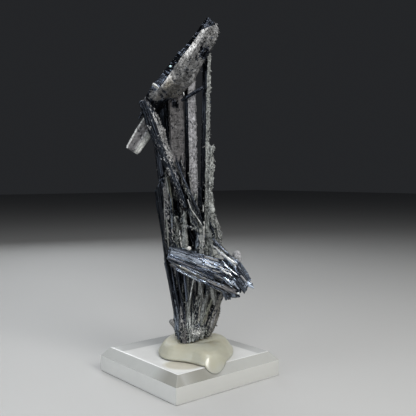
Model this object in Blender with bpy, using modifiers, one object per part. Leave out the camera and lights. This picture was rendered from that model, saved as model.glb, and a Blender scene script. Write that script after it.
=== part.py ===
"""Stibnite crystal spray glued to a bevelled acrylic block.

The block's sides lie along X and Y, with the origin at the middle of its underside.
The spray stands on it turned by SPRAY_TURN. The spray's own frame has X across its
broad side, -Y towards its front and Z up, and its places and sizes are in millimetres.
"""
import math
from collections import namedtuple

import bmesh
import bpy
from mathutils import Vector

MM = 0.001
GAP = 0.3                  # kept between pieces that lie against each other

BASE_SIDE = 50.8
BASE_THICKNESS = 9.5
BASE_WALL = 6.1            # upright part of the sides, below the bevel
BEVEL_INSET = 3.0          # how far the bevel runs in over the top

SPRAY_TURN = math.radians(50)

# The root that all the crystals grow out of, as (height, left, right, front, back):
# distances from an upright line through ROOT_CENTRE. Its foot stands in the glue.
ROOT_CENTRE = (2.0, -1.0)
ROOT_OUTLINE = [
    (11.6, 3.4, 3.4, 3.0, 3.0),
    (16.0, 6.4, 7.4, 3.8, 4.2),
    (22.0, 7.8, 9.8, 3.8, 4.8),
    (32.0, 8.8, 11.6, 3.6, 5.4),
]
ROOT_RIDGE = 0.1

# A prism from foot to tip. width and depth are its full size across and front to back,
# ridge is where its front edge stands (-1 left side, 1 right side), taper is the tip's
# share of the full size, cut is the slope of the end face across the prism, and
# ledge is the share of the length where the prism steps in.
Prism = namedtuple("Prism", "foot tip width depth ridge taper cut ledge")
FOOT_SIZE = 0.65           # a prism's foot, as a share of its full size
SHOULDER = 0.22            # share of the length where it has its full size
LEDGE_RUN = 0.02           # share of the length that a ledge takes

UPRIGHTS = [
    Prism((-0.6, -2.2, 15.6), (-10.7, -2.2, 76.6), 6.0, 5.0, -0.3, 0.95, 0.3, 0.86),
    Prism((-0.6, 0.6, 15.6), (-11.6, 0.8, 92.5), 5.6, 4.6, 0.1, 0.9, -0.5, 0.6),
    Prism((1.0, 1.4, 15.6), (-4.6, 1.2, 116.5), 6.6, 4.6, -0.2, 1.0, 0.8, 0.52),
    Prism((3.2, 0.4, 15.6), (1.1, 0.4, 121.0), 4.6, 4.4, -0.45, 0.95, 0.9, 0.6),
    Prism((4.8, -1.4, 15.6), (7.2, -1.4, 124.4), 3.9, 3.8, 0.0, 0.92, 0.75, 0.47),
    Prism((5.2, 0.6, 15.6), (8.0, 0.4, 91.0), 5.0, 4.6, 0.3, 0.85, -0.4, 0.62),
    Prism((5.2, 1.0, 15.6), (11.4, 1.4, 56.5), 5.4, 4.6, 0.2, 0.8, -0.5, 0.8),
    Prism((5.0, -1.2, 15.6), (14.6, -2.4, 42.5), 4.6, 4.4, 0.4, 1.0, -0.5, 0.7),
]
BACK_UPRIGHTS = [
    Prism((0.6, 2.2, 15.6), (-7.4, 5.4, 99.0), 4.6, 4.4, 0.3, 0.85, 0.6, 0.7),
    Prism((2.6, 2.4, 15.6), (1.2, 5.2, 108.0), 4.2, 4.2, -0.2, 0.9, -0.6, 0.5),
    Prism((0.0, 1.8, 15.6), (-9.8, 4.8, 63.0), 4.4, 4.2, 0.0, 0.85, 0.5, 0.75),
    Prism((5.0, 2.0, 15.6), (7.2, 5.0, 79.0), 4.6, 4.4, 0.2, 0.85, 0.5, 0.6),
    Prism((5.6, 1.6, 15.6), (12.6, 4.4, 44.0), 4.4, 4.2, -0.3, 0.9, -0.4, 0.8),
    Prism((3.4, 2.6, 15.6), (3.4, 7.6, 58.0), 4.0, 3.6, 0.1, 0.9, 0.7, 0.7),
]
POSTS = [
    Prism((0.4, -3.2, 15.6), (-1.6, -4.6, 65.6), 2.7, 3.0, 0.1, 0.95, 0.2, 0.9),
    Prism((4.6, -3.2, 15.6), (6.5, -4.2, 60.6), 2.8, 3.0, 0.3, 0.95, 0.2, 0.9),
    Prism((0.0, -2.4, 15.6), (-5.6, -2.6, 72.0), 3.0, 3.0, -0.2, 0.9, 0.6, 0.7),
    Prism((3.2, -2.2, 15.6), (3.4, -2.6, 70.5), 3.0, 2.8, 0.2, 0.9, -0.5, 0.7),
]

# The fan of root needles below the cross bundle: they start on one line at the foot
# and end on a wider one.
NEEDLE_COUNT = 7
NEEDLE_FEET = ((-2.0, 6.8), -3.2, 15.6)
NEEDLE_TIPS = ((-6.6, 11.4), -4.2, 50.0)
NEEDLE_WIDTH = 2.6
NEEDLE_DEPTH = 3.0
NEEDLE_TIP_STEP = 3.5      # every other needle ends lower by this

BRIDGE = Prism((-2.8, -1.6, 107.2), (6.2, -2.0, 113.4), 1.1, 1.1, 0.0, 1.0, 0.0, 0.5)

# Outlines along a leaning crystal: (share of the length, left, right, front, back),
# each a distance from the line between its two ends.
DIAGONAL_ENDS = ((-1.4, -6.5, 66.4), (-16.5, -8.9, 107.6))
DIAGONAL_OUTLINE = [
    (0.00, 0.9, 2.0, 1.6, 1.6),
    (0.19, 1.1, 2.4, 1.8, 1.8),
    (0.42, 1.9, 2.8, 2.2, 1.9),
    (0.46, 2.0, 3.3, 2.3, 2.0),
    (0.67, 2.4, 4.0, 2.4, 2.2),
    (0.76, 2.4, 4.2, 2.4, 2.2),
    (0.88, 2.3, 3.1, 2.3, 2.1),
    (1.00, 1.9, 1.3, 2.0, 1.9),
]
DIAGONAL_RIDGE = 0.3
DIAGONAL_CUT = 0.2
EDGE_BLADE = Prism((5.9, -7.1, 59.3), (-4.6, -7.2, 84.0), 2.0, 2.4, 0.0, 0.8, 0.0, 0.5)

BLADE_ENDS = ((-20.9, -4.1, 89.0), (9.6, -4.1, 137.4))
BLADE_OUTLINE = [
    (0.00, 2.7, 2.6, 1.9, 1.9),
    (0.13, 3.3, 3.4, 2.1, 2.0),
    (0.30, 3.6, 3.6, 2.1, 2.0),
    (0.34, 6.3, 4.4, 2.2, 2.0),
    (0.52, 6.0, 5.9, 2.2, 2.0),
    (0.70, 4.9, 5.5, 2.2, 2.0),
    (0.84, 3.5, 4.9, 2.1, 2.0),
    (0.95, 2.9, 4.9, 2.0, 1.9),
    (1.00, 2.4, 3.4, 1.7, 1.7),
]
BLADE_RIDGE = -0.6
BLADE_CUT = -0.4

# The cross bundle: blades side by side that run from its left end to its right end,
# and shorter, steeper ones that make its broken right end.
CROSS_BLADES = [
    Prism((-6.0, -10.0, 48.0), (17.0, -10.2, 39.6), 5.6, 6.4, 0.0, 1.4, 0.2, 0.5),
    Prism((-7.2, -9.4, 50.4), (15.5, -9.8, 44.4), 3.6, 5.6, 0.2, 1.15, 0.3, 0.5),
    Prism((-7.6, -10.2, 48.3), (19.0, -10.8, 39.8), 4.0, 6.2, -0.2, 1.3, -0.4, 0.6),
    Prism((-6.4, -9.8, 45.8), (18.6, -10.2, 35.4), 3.4, 5.8, 0.1, 1.5, 0.5, 0.55),
    Prism((1.6, -9.2, 42.0), (17.0, -9.6, 34.0), 2.6, 5.2, 0.0, 1.4, 0.4, 0.7),
    Prism((-2.5, -12.2, 48.4), (16.5, -12.8, 42.2), 2.6, 2.8, 0.0, 1.1, 0.5, 0.5),
]
END_BLADES = [
    Prism((9.6, -8.6, 53.6), (23.6, -9.4, 37.0), 2.8, 4.4, 0.1, 1.4, 0.3, 0.6),
    Prism((9.0, -10.8, 49.8), (21.4, -11.4, 36.4), 3.0, 3.8, -0.2, 1.4, -0.3, 0.6),
    Prism((11.0, -8.8, 45.6), (24.8, -8.8, 35.9), 3.2, 4.4, 0.2, 1.1, 0.2, 0.7),
    Prism((14.6, -9.8, 45.4), (17.0, -9.8, 31.9), 3.8, 4.4, -0.2, 1.0, -0.4, 0.6),
    Prism((16.0, -9.4, 44.0), (20.9, -9.6, 33.2), 3.8, 4.6, 0.2, 1.0, -0.2, 0.7),
]
BALL_CENTRE = (0.5, -10.2, 50.5)
BALL_RADIUS = 0.95

KNOB_CENTRE = (19.0, -6.8, 47.2)
KNOB_RADII = (1.9, 1.8, 3.0)

# Plan of the glue: (x, y, height of its rim). It runs down the bevel at its front.
GLUE_CENTRE = (2.6, -3.5)
GLUE_PLAN = [
    (-11.0, -8.6, 9.0),
    (-7.6, -15.2, 9.0),
    (-2.0, -16.8, 9.0),
    (3.4, -19.4, 9.0),
    (7.4, -22.4, 8.2),
    (11.2, -23.4, 6.2),
    (14.0, -19.8, 8.0),
    (16.8, -11.4, 9.0),
    (18.0, -2.8, 9.0),
    (16.2, 6.0, 9.0),
    (9.4, 11.4, 9.0),
    (0.4, 12.4, 9.0),
    (-7.8, 9.2, 9.0),
    (-11.6, 0.8, 9.0),
]
GLUE_RIM = 9.0             # height of the rim where the top of the block carries it
# The rings above the rim: (share of the plan, height above the rim, share of the
# drip's fall that the ring follows).
GLUE_RISE = [(1.04, 1.8, 1.0), (0.84, 4.6, 0.45), (0.5, 6.2, 0.1)]
GLUE_BELOW = 3.0
GLUE_LEVELS = 2
SOCKET_WALL = 0.5

STIBNITE = (0.16, 0.17, 0.20)
PALE = (0.62, 0.60, 0.56)


def clear_scene():
    for item in list(bpy.data.objects):
        bpy.data.objects.remove(item, do_unlink=True)


def new_collection(name):
    group = bpy.data.collections.new(name)
    bpy.context.scene.collection.children.link(group)
    return group


def material(name, colour, roughness, metallic):
    made = bpy.data.materials.new(name)
    made.use_nodes = True
    shader = made.node_tree.nodes["Principled BSDF"]
    shader.inputs["Base Color"].default_value = (*colour, 1.0)
    shader.inputs["Roughness"].default_value = roughness
    shader.inputs["Metallic"].default_value = metallic
    return made


def place(body, name, group, finish=None, parent=None):
    """Make an object of a bmesh in millimetres."""
    bmesh.ops.recalc_face_normals(body, faces=body.faces)
    bmesh.ops.scale(body, vec=(MM, MM, MM), verts=body.verts)
    mesh = bpy.data.meshes.new(name)
    body.to_mesh(mesh)
    body.free()
    made = bpy.data.objects.new(name, mesh)
    group.objects.link(made)
    made.parent = parent
    if finish:
        mesh.materials.append(finish)
    return made


def as_cutter(made):
    made.hide_render = True
    made.display_type = "WIRE"
    return made


def boolean(made, operation, other):
    step = made.modifiers.new(operation.title(), "BOOLEAN")
    step.operation = operation
    step.solver = "EXACT"
    if isinstance(other, bpy.types.Collection):
        step.operand_type = "COLLECTION"
        step.collection = other
    else:
        step.object = other


def section(ridge, edge=0.22, flute=0.12):
    """Outline of a prism on a unit square, anticlockwise from its left side.

    Two narrow side facets, a front and a back ridge, and a shallow flute along the
    middle of each of the four broad faces.
    """
    corners = [(-1, edge), (-1, -edge), (ridge, -1), (1, -edge), (1, edge), (-ridge, 1)]
    outline = []
    for index, start in enumerate(corners):
        start = Vector(start)
        end = Vector(corners[(index + 1) % len(corners)])
        outline.append(start)
        if index in (0, 3):
            continue
        inward = Vector((start.y - end.y, end.x - start.x)).normalized() * flute
        outline.append(start.lerp(end, 0.38))
        outline.append(start.lerp(end, 0.5) + inward)
        outline.append(start.lerp(end, 0.62))
    return outline


def loft(foot, tip, stations, ridge, cut):
    """Prism whose section changes along the line from foot to tip.

    A station is (share, left, right, front, back). The last ring is sloped by cut.
    """
    foot = Vector(foot)
    axis = Vector(tip) - foot
    length = axis.length
    axis.normalize()
    deep = (Vector((0, 1, 0)) - axis * axis.y).normalized()
    across = deep.cross(axis)
    body = bmesh.new()
    rings = []
    for share, left, right, front, back in stations:
        ring = []
        for point in section(ridge):
            x = point.x * (left if point.x < 0 else right)
            y = point.y * (front if point.y < 0 else back)
            along = share * length
            if share == 1.0:
                along += cut * x
            ring.append(body.verts.new(foot + axis * along + across * x + deep * y))
        rings.append(ring)
    body.faces.new(reversed(rings[0]))
    body.faces.new(rings[-1])
    for lower, upper in zip(rings, rings[1:]):
        for index in range(len(lower)):
            after = (index + 1) % len(lower)
            body.faces.new((lower[index], lower[after], upper[after], upper[index]))
    return body


def prism(shape):
    """Loft of a prism that is slim at its foot, steps in at its ledge and tapers on."""
    wide = shape.width / 2
    deep = shape.depth / 2
    shares = (0.0, SHOULDER, shape.ledge, shape.ledge + LEDGE_RUN, 1.0)
    step = (1 - shape.taper) * 0.5
    sizes = (FOOT_SIZE, 1.0, 1.0, 1.0 - step, shape.taper)
    stations = [
        (share, wide * size, wide * size, deep * size, deep * size)
        for share, size in zip(shares, sizes)
    ]
    return loft(shape.foot, shape.tip, stations, shape.ridge, shape.cut)


def root_needles():
    (first_foot, last_foot), foot_y, foot_z = NEEDLE_FEET
    (first_tip, last_tip), tip_y, tip_z = NEEDLE_TIPS
    for index in range(NEEDLE_COUNT):
        share = index / (NEEDLE_COUNT - 1)
        foot = (first_foot + (last_foot - first_foot) * share, foot_y, foot_z)
        top = tip_z - NEEDLE_TIP_STEP * (index % 2)
        tip = (first_tip + (last_tip - first_tip) * share, tip_y - 0.5 * (index % 2), top)
        ridge = -0.5 + share
        yield Prism(foot, tip, NEEDLE_WIDTH, NEEDLE_DEPTH, ridge, 0.9, 0.4, 0.6)


def root_block(grow=0.0):
    """Widening plug that the crystals grow out of, larger all round by grow."""
    floor = ROOT_OUTLINE[0][0]
    top = ROOT_OUTLINE[-1][0]
    stations = [
        ((height - floor) / (top - floor), *(side + grow for side in sides))
        for height, *sides in ROOT_OUTLINE
    ]
    drop = GAP if grow else 0.0
    foot = (*ROOT_CENTRE, floor - drop)
    tip = (*ROOT_CENTRE, top - drop)
    return loft(foot, tip, stations, ROOT_RIDGE, 0.0)


def acrylic_block(grow=0.0):
    """Square block with bevelled upper edges, larger all round by grow."""
    body = bmesh.new()
    bmesh.ops.create_cube(body, size=1.0)
    side = BASE_SIDE + 2 * grow
    bmesh.ops.scale(body, vec=(side, side, BASE_THICKNESS + grow), verts=body.verts)
    bmesh.ops.translate(body, vec=(0, 0, (BASE_THICKNESS + grow) / 2), verts=body.verts)
    geometry = body.verts[:] + body.edges[:] + body.faces[:]
    bmesh.ops.bisect_plane(
        body, geom=geometry, plane_co=(0, 0, BASE_WALL + grow / 2), plane_no=(0, 0, 1)
    )
    inner = (side - 2 * BEVEL_INSET) / side
    top = [vertex for vertex in body.verts if vertex.co.z > (BASE_WALL + BASE_THICKNESS) / 2]
    bmesh.ops.scale(body, vec=(inner, inner, 1.0), verts=top)
    return body


def glue_cage():
    """Coarse cage of the glue: its plan raised in rings that draw in to a low dome."""
    body = bmesh.new()
    centre = Vector(GLUE_CENTRE)
    levels = [(1.0, -GLUE_BELOW, 1.0), (1.0, 0.0, 1.0)] + GLUE_RISE
    rings = []
    for share, rise, follow in levels:
        ring = []
        for x, y, rim in GLUE_PLAN:
            plan = centre.lerp(Vector((x, y)), share)
            height = GLUE_RIM + (rim - GLUE_RIM) * follow + rise
            ring.append(body.verts.new((*plan, height)))
        rings.append(ring)
    body.faces.new(reversed(rings[0]))
    body.faces.new(rings[-1])
    for lower, upper in zip(rings, rings[1:]):
        for index in range(len(lower)):
            after = (index + 1) % len(lower)
            body.faces.new((lower[index], lower[after], upper[after], upper[index]))
    return body


def build():
    clear_scene()
    parts = new_collection("stibnite_crystal_spray")
    cutters = new_collection("cutters")
    grown = new_collection("grown_together")
    crossed = new_collection("cross_blades")

    stibnite = material("stibnite", STIBNITE, 0.35, 0.8)
    acrylic = material("acrylic", (0.85, 0.86, 0.85), 0.1, 0.0)
    glue_finish = material("hot_glue", (0.72, 0.70, 0.58), 0.3, 0.0)
    pale = material("pale_crystal", PALE, 0.5, 0.0)

    stand = bpy.data.objects.new("spray_frame", None)
    stand.rotation_euler.z = SPRAY_TURN
    parts.objects.link(stand)

    place(acrylic_block(), "acrylic_base", parts, acrylic)

    spray = place(root_block(), "upright_spray", parts, stibnite, stand)
    shapes = UPRIGHTS + BACK_UPRIGHTS + POSTS + list(root_needles()) + [BRIDGE]
    for index, shape in enumerate(shapes):
        as_cutter(place(prism(shape), f"crystal_{index}", grown, None, stand))
    boolean(spray, "UNION", grown)

    first, *others = CROSS_BLADES + END_BLADES
    bundle = place(prism(first), "cross_bundle", parts, stibnite, stand)
    for index, shape in enumerate(others):
        as_cutter(place(prism(shape), f"blade_{index}", crossed, None, stand))
    ball = bmesh.new()
    bmesh.ops.create_icosphere(ball, subdivisions=1, radius=BALL_RADIUS)
    bmesh.ops.translate(ball, vec=BALL_CENTRE, verts=ball.verts)
    as_cutter(place(ball, "ball", crossed, None, stand))
    boolean(bundle, "UNION", crossed)

    leaning = loft(*DIAGONAL_ENDS, DIAGONAL_OUTLINE, DIAGONAL_RIDGE, DIAGONAL_CUT)
    diagonal = place(leaning, "diagonal_crystal", parts, stibnite, stand)
    edge_blade = as_cutter(place(prism(EDGE_BLADE), "edge_blade", cutters, None, stand))
    boolean(diagonal, "UNION", edge_blade)

    flat = loft(*BLADE_ENDS, BLADE_OUTLINE, BLADE_RIDGE, BLADE_CUT)
    place(flat, "top_blade", parts, stibnite, stand)

    knob = bmesh.new()
    bmesh.ops.create_icosphere(knob, subdivisions=2, radius=1.0)
    bmesh.ops.scale(knob, vec=KNOB_RADII, verts=knob.verts)
    bmesh.ops.translate(knob, vec=KNOB_CENTRE, verts=knob.verts)
    place(knob, "pale_knob", parts, pale, stand)

    glue = place(glue_cage(), "hot_glue", parts, glue_finish, stand)
    soften = glue.modifiers.new("Soften", "SUBSURF")
    soften.levels = GLUE_LEVELS
    soften.render_levels = GLUE_LEVELS
    seat = as_cutter(place(acrylic_block(GAP), "base_seat", cutters))
    boolean(glue, "DIFFERENCE", seat)
    socket = as_cutter(place(root_block(SOCKET_WALL), "root_socket", cutters, None, stand))
    boolean(glue, "DIFFERENCE", socket)


build()
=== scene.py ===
import math
from collections import namedtuple

import bpy
import numpy as np
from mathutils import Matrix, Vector


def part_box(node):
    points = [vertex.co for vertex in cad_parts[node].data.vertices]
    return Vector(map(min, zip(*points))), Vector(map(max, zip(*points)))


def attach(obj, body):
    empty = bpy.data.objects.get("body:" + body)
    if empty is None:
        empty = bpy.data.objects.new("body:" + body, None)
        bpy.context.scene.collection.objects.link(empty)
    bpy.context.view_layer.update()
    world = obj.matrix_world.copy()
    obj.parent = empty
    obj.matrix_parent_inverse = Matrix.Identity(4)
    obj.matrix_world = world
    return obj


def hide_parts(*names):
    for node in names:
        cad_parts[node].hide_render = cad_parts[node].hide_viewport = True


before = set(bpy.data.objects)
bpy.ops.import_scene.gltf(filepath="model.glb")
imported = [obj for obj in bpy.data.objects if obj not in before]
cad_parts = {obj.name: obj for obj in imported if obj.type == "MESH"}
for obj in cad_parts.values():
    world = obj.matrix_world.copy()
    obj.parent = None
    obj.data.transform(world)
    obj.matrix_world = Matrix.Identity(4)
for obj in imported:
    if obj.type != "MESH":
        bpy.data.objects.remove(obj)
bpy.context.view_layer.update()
baseLow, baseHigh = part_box("acrylic_base")
print("frame loaded")

mm = 0.001
blockHalf = (baseHigh.x - baseLow.x) / 2 / mm
blockTop = (baseHigh.z - baseLow.z) / mm
sprayTurn = math.radians(50)     # the spray stands on the block turned by this
turnCos, turnSin = math.cos(sprayTurn), math.sin(sprayTurn)


def unit(vectors):
    return vectors / np.maximum(np.linalg.norm(vectors, axis=-1, keepdims=True), 1e-9)


def ease(low, high, value):
    # 0 below low, 1 above high, and a smooth rise in between
    share = np.clip((value - low) / (high - low), 0, 1)
    return share * share * (3 - 2 * share)


noiseTable = np.random.default_rng(11).random((64, 64))


def softNoise(a, b, shift=0.0):
    # random heights at the whole numbers of a and b, eased in between
    a = np.asarray(a, float) + 17.3 * shift
    b = np.asarray(b, float) + 9.1 * shift
    i, j = np.floor(a).astype(int), np.floor(b).astype(int)
    s, t = ease(0, 1, a - i), ease(0, 1, b - j)
    near = noiseTable[i % 64, j % 64] * (1 - s) + noiseTable[(i + 1) % 64, j % 64] * s
    far = noiseTable[i % 64, (j + 1) % 64] * (1 - s) + noiseTable[(i + 1) % 64, (j + 1) % 64] * s
    return near * (1 - t) + far * t


# ---- finishes: sockets that can be written in expressions


class Wire:
    # a socket, with or without Math nodes in front of it
    def __init__(self, finish, socket):
        self.finish = finish
        self.socket = socket

    def maths(self, operation, first, second=0.0, clamp=False):
        settings = {"operation": operation, "use_clamp": clamp}
        return self.finish.wire("ShaderNodeMath", settings, {0: first, 1: second})

    def __add__(self, other):
        return self.maths("ADD", self, other)

    def __sub__(self, other):
        return self.maths("SUBTRACT", self, other)

    def __rsub__(self, other):
        return self.maths("SUBTRACT", other, self)

    def __mul__(self, other):
        return self.maths("MULTIPLY", self, other)

    __radd__ = __add__
    __rmul__ = __mul__

    def clamped(self):
        return self.maths("ADD", self, 0.0, True)


class Finish:
    # one material, whose nodes all come from node()
    def __init__(self, name, **constants):
        self.material = bpy.data.materials.new(name)
        self.material.use_nodes = True
        self.tree = self.material.node_tree
        self.shader = self.tree.nodes["Principled BSDF"]
        for key, value in constants.items():
            self.shader.inputs[key.replace("_", " ")].default_value = value

    def node(self, kind, settings=None, inputs=None):
        made = self.tree.nodes.new(kind)
        for key, value in (settings or {}).items():
            setattr(made, key, value)
        self.feed(made, inputs or {})
        return made

    def feed(self, node, inputs):
        for key, value in inputs.items():
            if isinstance(value, Wire):
                self.tree.links.new(value.socket, node.inputs[key])
            else:
                node.inputs[key].default_value = value

    def wire(self, kind, settings=None, inputs=None, output=0):
        return Wire(self, self.node(kind, settings, inputs).outputs[output])

    def attribute(self, name, output):
        return self.wire("ShaderNodeAttribute", {"attribute_name": name}, output=output)

    def place(self):
        # millimetres in the object's own axes
        return self.scaled(self.wire("ShaderNodeTexCoord", output="Object"), (1 / mm,) * 3)

    def scaled(self, vector, sizes):
        return self.wire("ShaderNodeVectorMath", {"operation": "MULTIPLY"}, {0: vector, 1: sizes})

    def noise(self, vector, scale=1.0, detail=2.0, rough=0.5):
        inputs = {"Vector": vector, "Scale": scale, "Detail": detail, "Roughness": rough}
        return self.wire("ShaderNodeTexNoise", {}, inputs)

    def cells(self, vector, scale, output):
        return self.wire("ShaderNodeTexVoronoi", {}, {"Vector": vector, "Scale": scale}, output)

    def mixed(self, factor, first, second, blend="MIX"):
        settings = {"data_type": "RGBA", "blend_type": blend}
        return self.wire("ShaderNodeMix", settings, {0: factor, 6: first, 7: second}, 2)

    def grey(self, value):
        return self.wire("ShaderNodeCombineColor", {}, {0: value, 1: value, 2: value})

    def bump(self, height, depth, strength=1.0):
        return self.wire("ShaderNodeBump", {}, {"Height": height, "Distance": depth, "Strength": strength})


def crystalFinish(name, look):
    # striated metal, and over it a sugary crust wherever the piece's "coat" attribute says
    finish = Finish(name, IOR=1.6)
    lie = finish.attribute("lie", "Vector")            # millimetres around, along, and a seed
    coat = finish.attribute("coat", "Fac")
    # on some bands this brightness is a painted highlight, on the rest the band's own tone
    shade = finish.attribute("shade", "Fac")           # brightness of each striation band
    tint = finish.attribute("tint", "Color")
    place = finish.place()

    broad = finish.noise(finish.scaled(lie, (0.9, 0.035, 1)), 1, 2, 0.6)
    streak = finish.noise(finish.scaled(lie, (3.2, 0.07, 1)), 1, 3, 0.65)
    hair = finish.noise(finish.scaled(lie, (9.0, 0.16, 1)), 1, 2, 0.6)
    sugar = finish.noise(finish.scaled(lie, look["crustGrain"]), 1, 4, 0.7)
    patch = finish.noise(finish.scaled(lie, look["crustPatch"]), 1, 3, 0.65)
    grain = finish.cells(place, look["grainsPerMm"], "Distance")
    grainColour = finish.cells(place, look["grainsPerMm"], "Color")
    sparkle = finish.wire("ShaderNodeSeparateColor", {}, {0: grainColour})

    crust = coat + (sugar - 0.5) * look["specks"] + (patch - 0.5) * look["patches"]
    crust = ((crust - 0.5) * look["crustEdge"] + 0.5).clamped()

    lines = broad * 0.5 + streak * 0.9 + hair * 0.5
    gleam = ((streak * 0.65 + hair * 0.35 - look["gleamFrom"]) * look["gleamRise"]).clamped()
    metal = finish.mixed(gleam, (*look["metalDark"], 1), (*look["metalLight"], 1))
    metal = finish.mixed((broad - 0.4).clamped() * look["warmth"], metal, (*look["metalWarm"], 1))
    metal = finish.mixed(1.0, metal, finish.grey(shade), "MULTIPLY")
    light = (sugar - 0.5) * look["sugarContrast"] + (streak - 0.5) * look["streakContrast"]
    light = light + (sparkle - 0.5) * 0.5 + (patch - 0.5) * 0.8 + shade * 0.4 + 0.5
    druse = finish.mixed(1.0, tint, finish.grey(light.maths("MAXIMUM", light, 0.06)), "MULTIPLY")
    colour = finish.mixed(crust, metal, druse)

    rough = look["metalRough"] + (hair - 0.5) * 0.25
    rough = rough + crust * (look["crustRough"] - look["metalRough"]) + (sparkle - 0.5) * 0.2 * crust
    height = lines * (1 - crust) * look["lineHeight"] + crust * ((1 - grain) * 0.7 + sugar * 0.9 + 0.4)
    finish.feed(finish.shader, {
        "Base Color": colour,
        "Metallic": 1 - crust,
        "Roughness": rough.clamped(),
        "Normal": finish.bump(height, look["reliefMm"] * mm),
    })
    return finish.material


stibniteLook = {
    "metalDark": (0.006, 0.008, 0.012),
    "metalLight": (0.125, 0.148, 0.19),
    "metalWarm": (0.05, 0.045, 0.047),
    "warmth": 1.2,
    "metalRough": 0.26,
    "gleamFrom": 0.44,
    "gleamRise": 5.0,
    "lineHeight": 1.0,
    "crustRough": 0.62,
    "crustGrain": (1.5, 0.9, 1.0),
    "crustPatch": (0.5, 0.16, 1.0),
    "crustEdge": 8.0,
    "sugarContrast": 3.4,
    "streakContrast": 1.2,
    "grainsPerMm": 2.3,
    "specks": 2.2,
    "patches": 0.9,
    "reliefMm": 0.2,
}
stibnite = crystalFinish("stibnite", stibniteLook)
# a lighter copy of the stibnite finish for the bundle across the front: painted light, for its lit, shiny
# blades
litStibnite = crystalFinish("litStibnite", stibniteLook | {
    "metalDark": (0.02, 0.025, 0.035),
    "metalLight": (0.36, 0.42, 0.52),
    "metalWarm": (0.13, 0.13, 0.145),
    "warmth": 0.8,
    "metalRough": 0.2,
    "gleamFrom": 0.42,
    "gleamRise": 4.0,
    "crustRough": 0.42,
    "crustGrain": (5.0, 0.22, 1.0),
    "crustPatch": (1.1, 0.09, 1.0),
})
print("crystal finishes made")


# ---- mesh making


def buildPiece(name, shapes, node, slot="stibnite", finish=None):
    # joins shapes, each with points (spray millimetres), quads, tris, coat, shade, tint and lie
    shapes = [closed(shape) if "grid" in shape else shape for shape in shapes]
    points = np.concatenate([shape["points"] for shape in shapes])
    starts = np.cumsum([0] + [len(shape["points"]) for shape in shapes])[:-1]
    quads = np.concatenate([shape["quads"] + start for shape, start in zip(shapes, starts)])
    tris = np.concatenate([shape["tris"] + start for shape, start in zip(shapes, starts)])
    made = meshObject(name, sprayToFrame(points), quads, tris, [finish or stibnite])
    for key, kind, field in (
        ("coat", "FLOAT", "value"), ("shade", "FLOAT", "value"), ("tint", "FLOAT_COLOR", "color"),
        ("lie", "FLOAT_VECTOR", "vector"),
    ):
        values = np.concatenate([np.asarray(shape[key], np.float32).ravel() for shape in shapes])
        layer = made.data.attributes.new(key, kind, "POINT")
        layer.data.foreach_set(field, values)
    settle(made, slot, node)


def meshObject(name, points, quads, tris, finishes, slots=None):
    mesh = bpy.data.meshes.new(name)
    loops = np.concatenate([quads.ravel(), tris.ravel()]).astype(np.int32)
    starts = np.concatenate([np.arange(len(quads)) * 4, len(quads) * 4 + np.arange(len(tris)) * 3])
    mesh.vertices.add(len(points))
    mesh.vertices.foreach_set("co", np.asarray(points, np.float32).ravel())
    mesh.loops.add(len(loops))
    mesh.loops.foreach_set("vertex_index", loops)
    mesh.polygons.add(len(starts))
    mesh.polygons.foreach_set("loop_start", starts.astype(np.int32))
    for finish in finishes:
        mesh.materials.append(finish)
    if slots is not None:
        mesh.polygons.foreach_set("material_index", slots.astype(np.int32))
    mesh.update(calc_edges=True)
    made = bpy.data.objects.new(name, mesh)
    bpy.context.scene.collection.objects.link(made)
    return made


def settle(made, slot, *nodes):
    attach(made, "root")
    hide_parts(*nodes)
    print(made.name, len(made.data.polygons), "faces")


def sprayToFrame(points):
    return points @ np.array([[turnCos, -turnSin, 0], [turnSin, turnCos, 0], [0, 0, 1]]).T * mm


def gridFaces(rows, around):
    # quads of a closed tube of rings, with a fan at each end to one more point
    column = np.arange(around)
    after = (column + 1) % around
    start = np.arange(rows - 1)[:, None] * around
    quads = np.stack([start + column, start + after, start + around + after, start + around + column], -1)
    quads = quads.reshape(-1, 4)
    low, high = rows * around, rows * around + 1
    last = (rows - 1) * around
    tris = np.concatenate([
        np.stack([after, column, np.full(around, low)], -1),
        np.stack([last + column, last + after, np.full(around, high)], -1),
    ])
    return quads, tris


# ---- crystals

palette = {
    "white": (0.28, 0.28, 0.295),
    "grey": (0.20, 0.20, 0.20),
    "pink": (0.105, 0.10, 0.103),
    "green": (0.175, 0.185, 0.175),
    "warm": (0.225, 0.22, 0.20),
    "pale": (0.40, 0.41, 0.40),
    "bright": (0.62, 0.63, 0.62),
    "blue": (0.13, 0.155, 0.19),
    "olive": (0.15, 0.155, 0.12),
    "steel": (0.25, 0.29, 0.35),
    "sage": (0.28, 0.295, 0.285),
}
sideEdge = 0.22      # half height of the narrow side facets, as a share of the half depth

# A crystal's row: foot and tip in spray millimetres (x across, -y front, z up), full width and
# depth, where the front edge stands (-1 left, 1 right), how crusted its facets are (left, front
# left, front right, right, back right, back left) and its tint. Then, where they aren't the usual
# ones: how bright bare metal is (gloss: its own tone, and a painted highlight where well
# above 1), how far the crust swells (lump), the slope of the end (cut), the tip's share of the
# size (taper) and where along it the crystal steps in (ledge).
Crystal = namedtuple(
    "Crystal", "foot tip width depth ridge coats tint gloss lump cut taper ledge"
)
usualCrystal = (1, 0.45, 0.3, 0.8, 0.6)
crusted, dusty, bare = (0.9,) * 6, (0.45,) * 6, (0.02,) * 6


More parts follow.
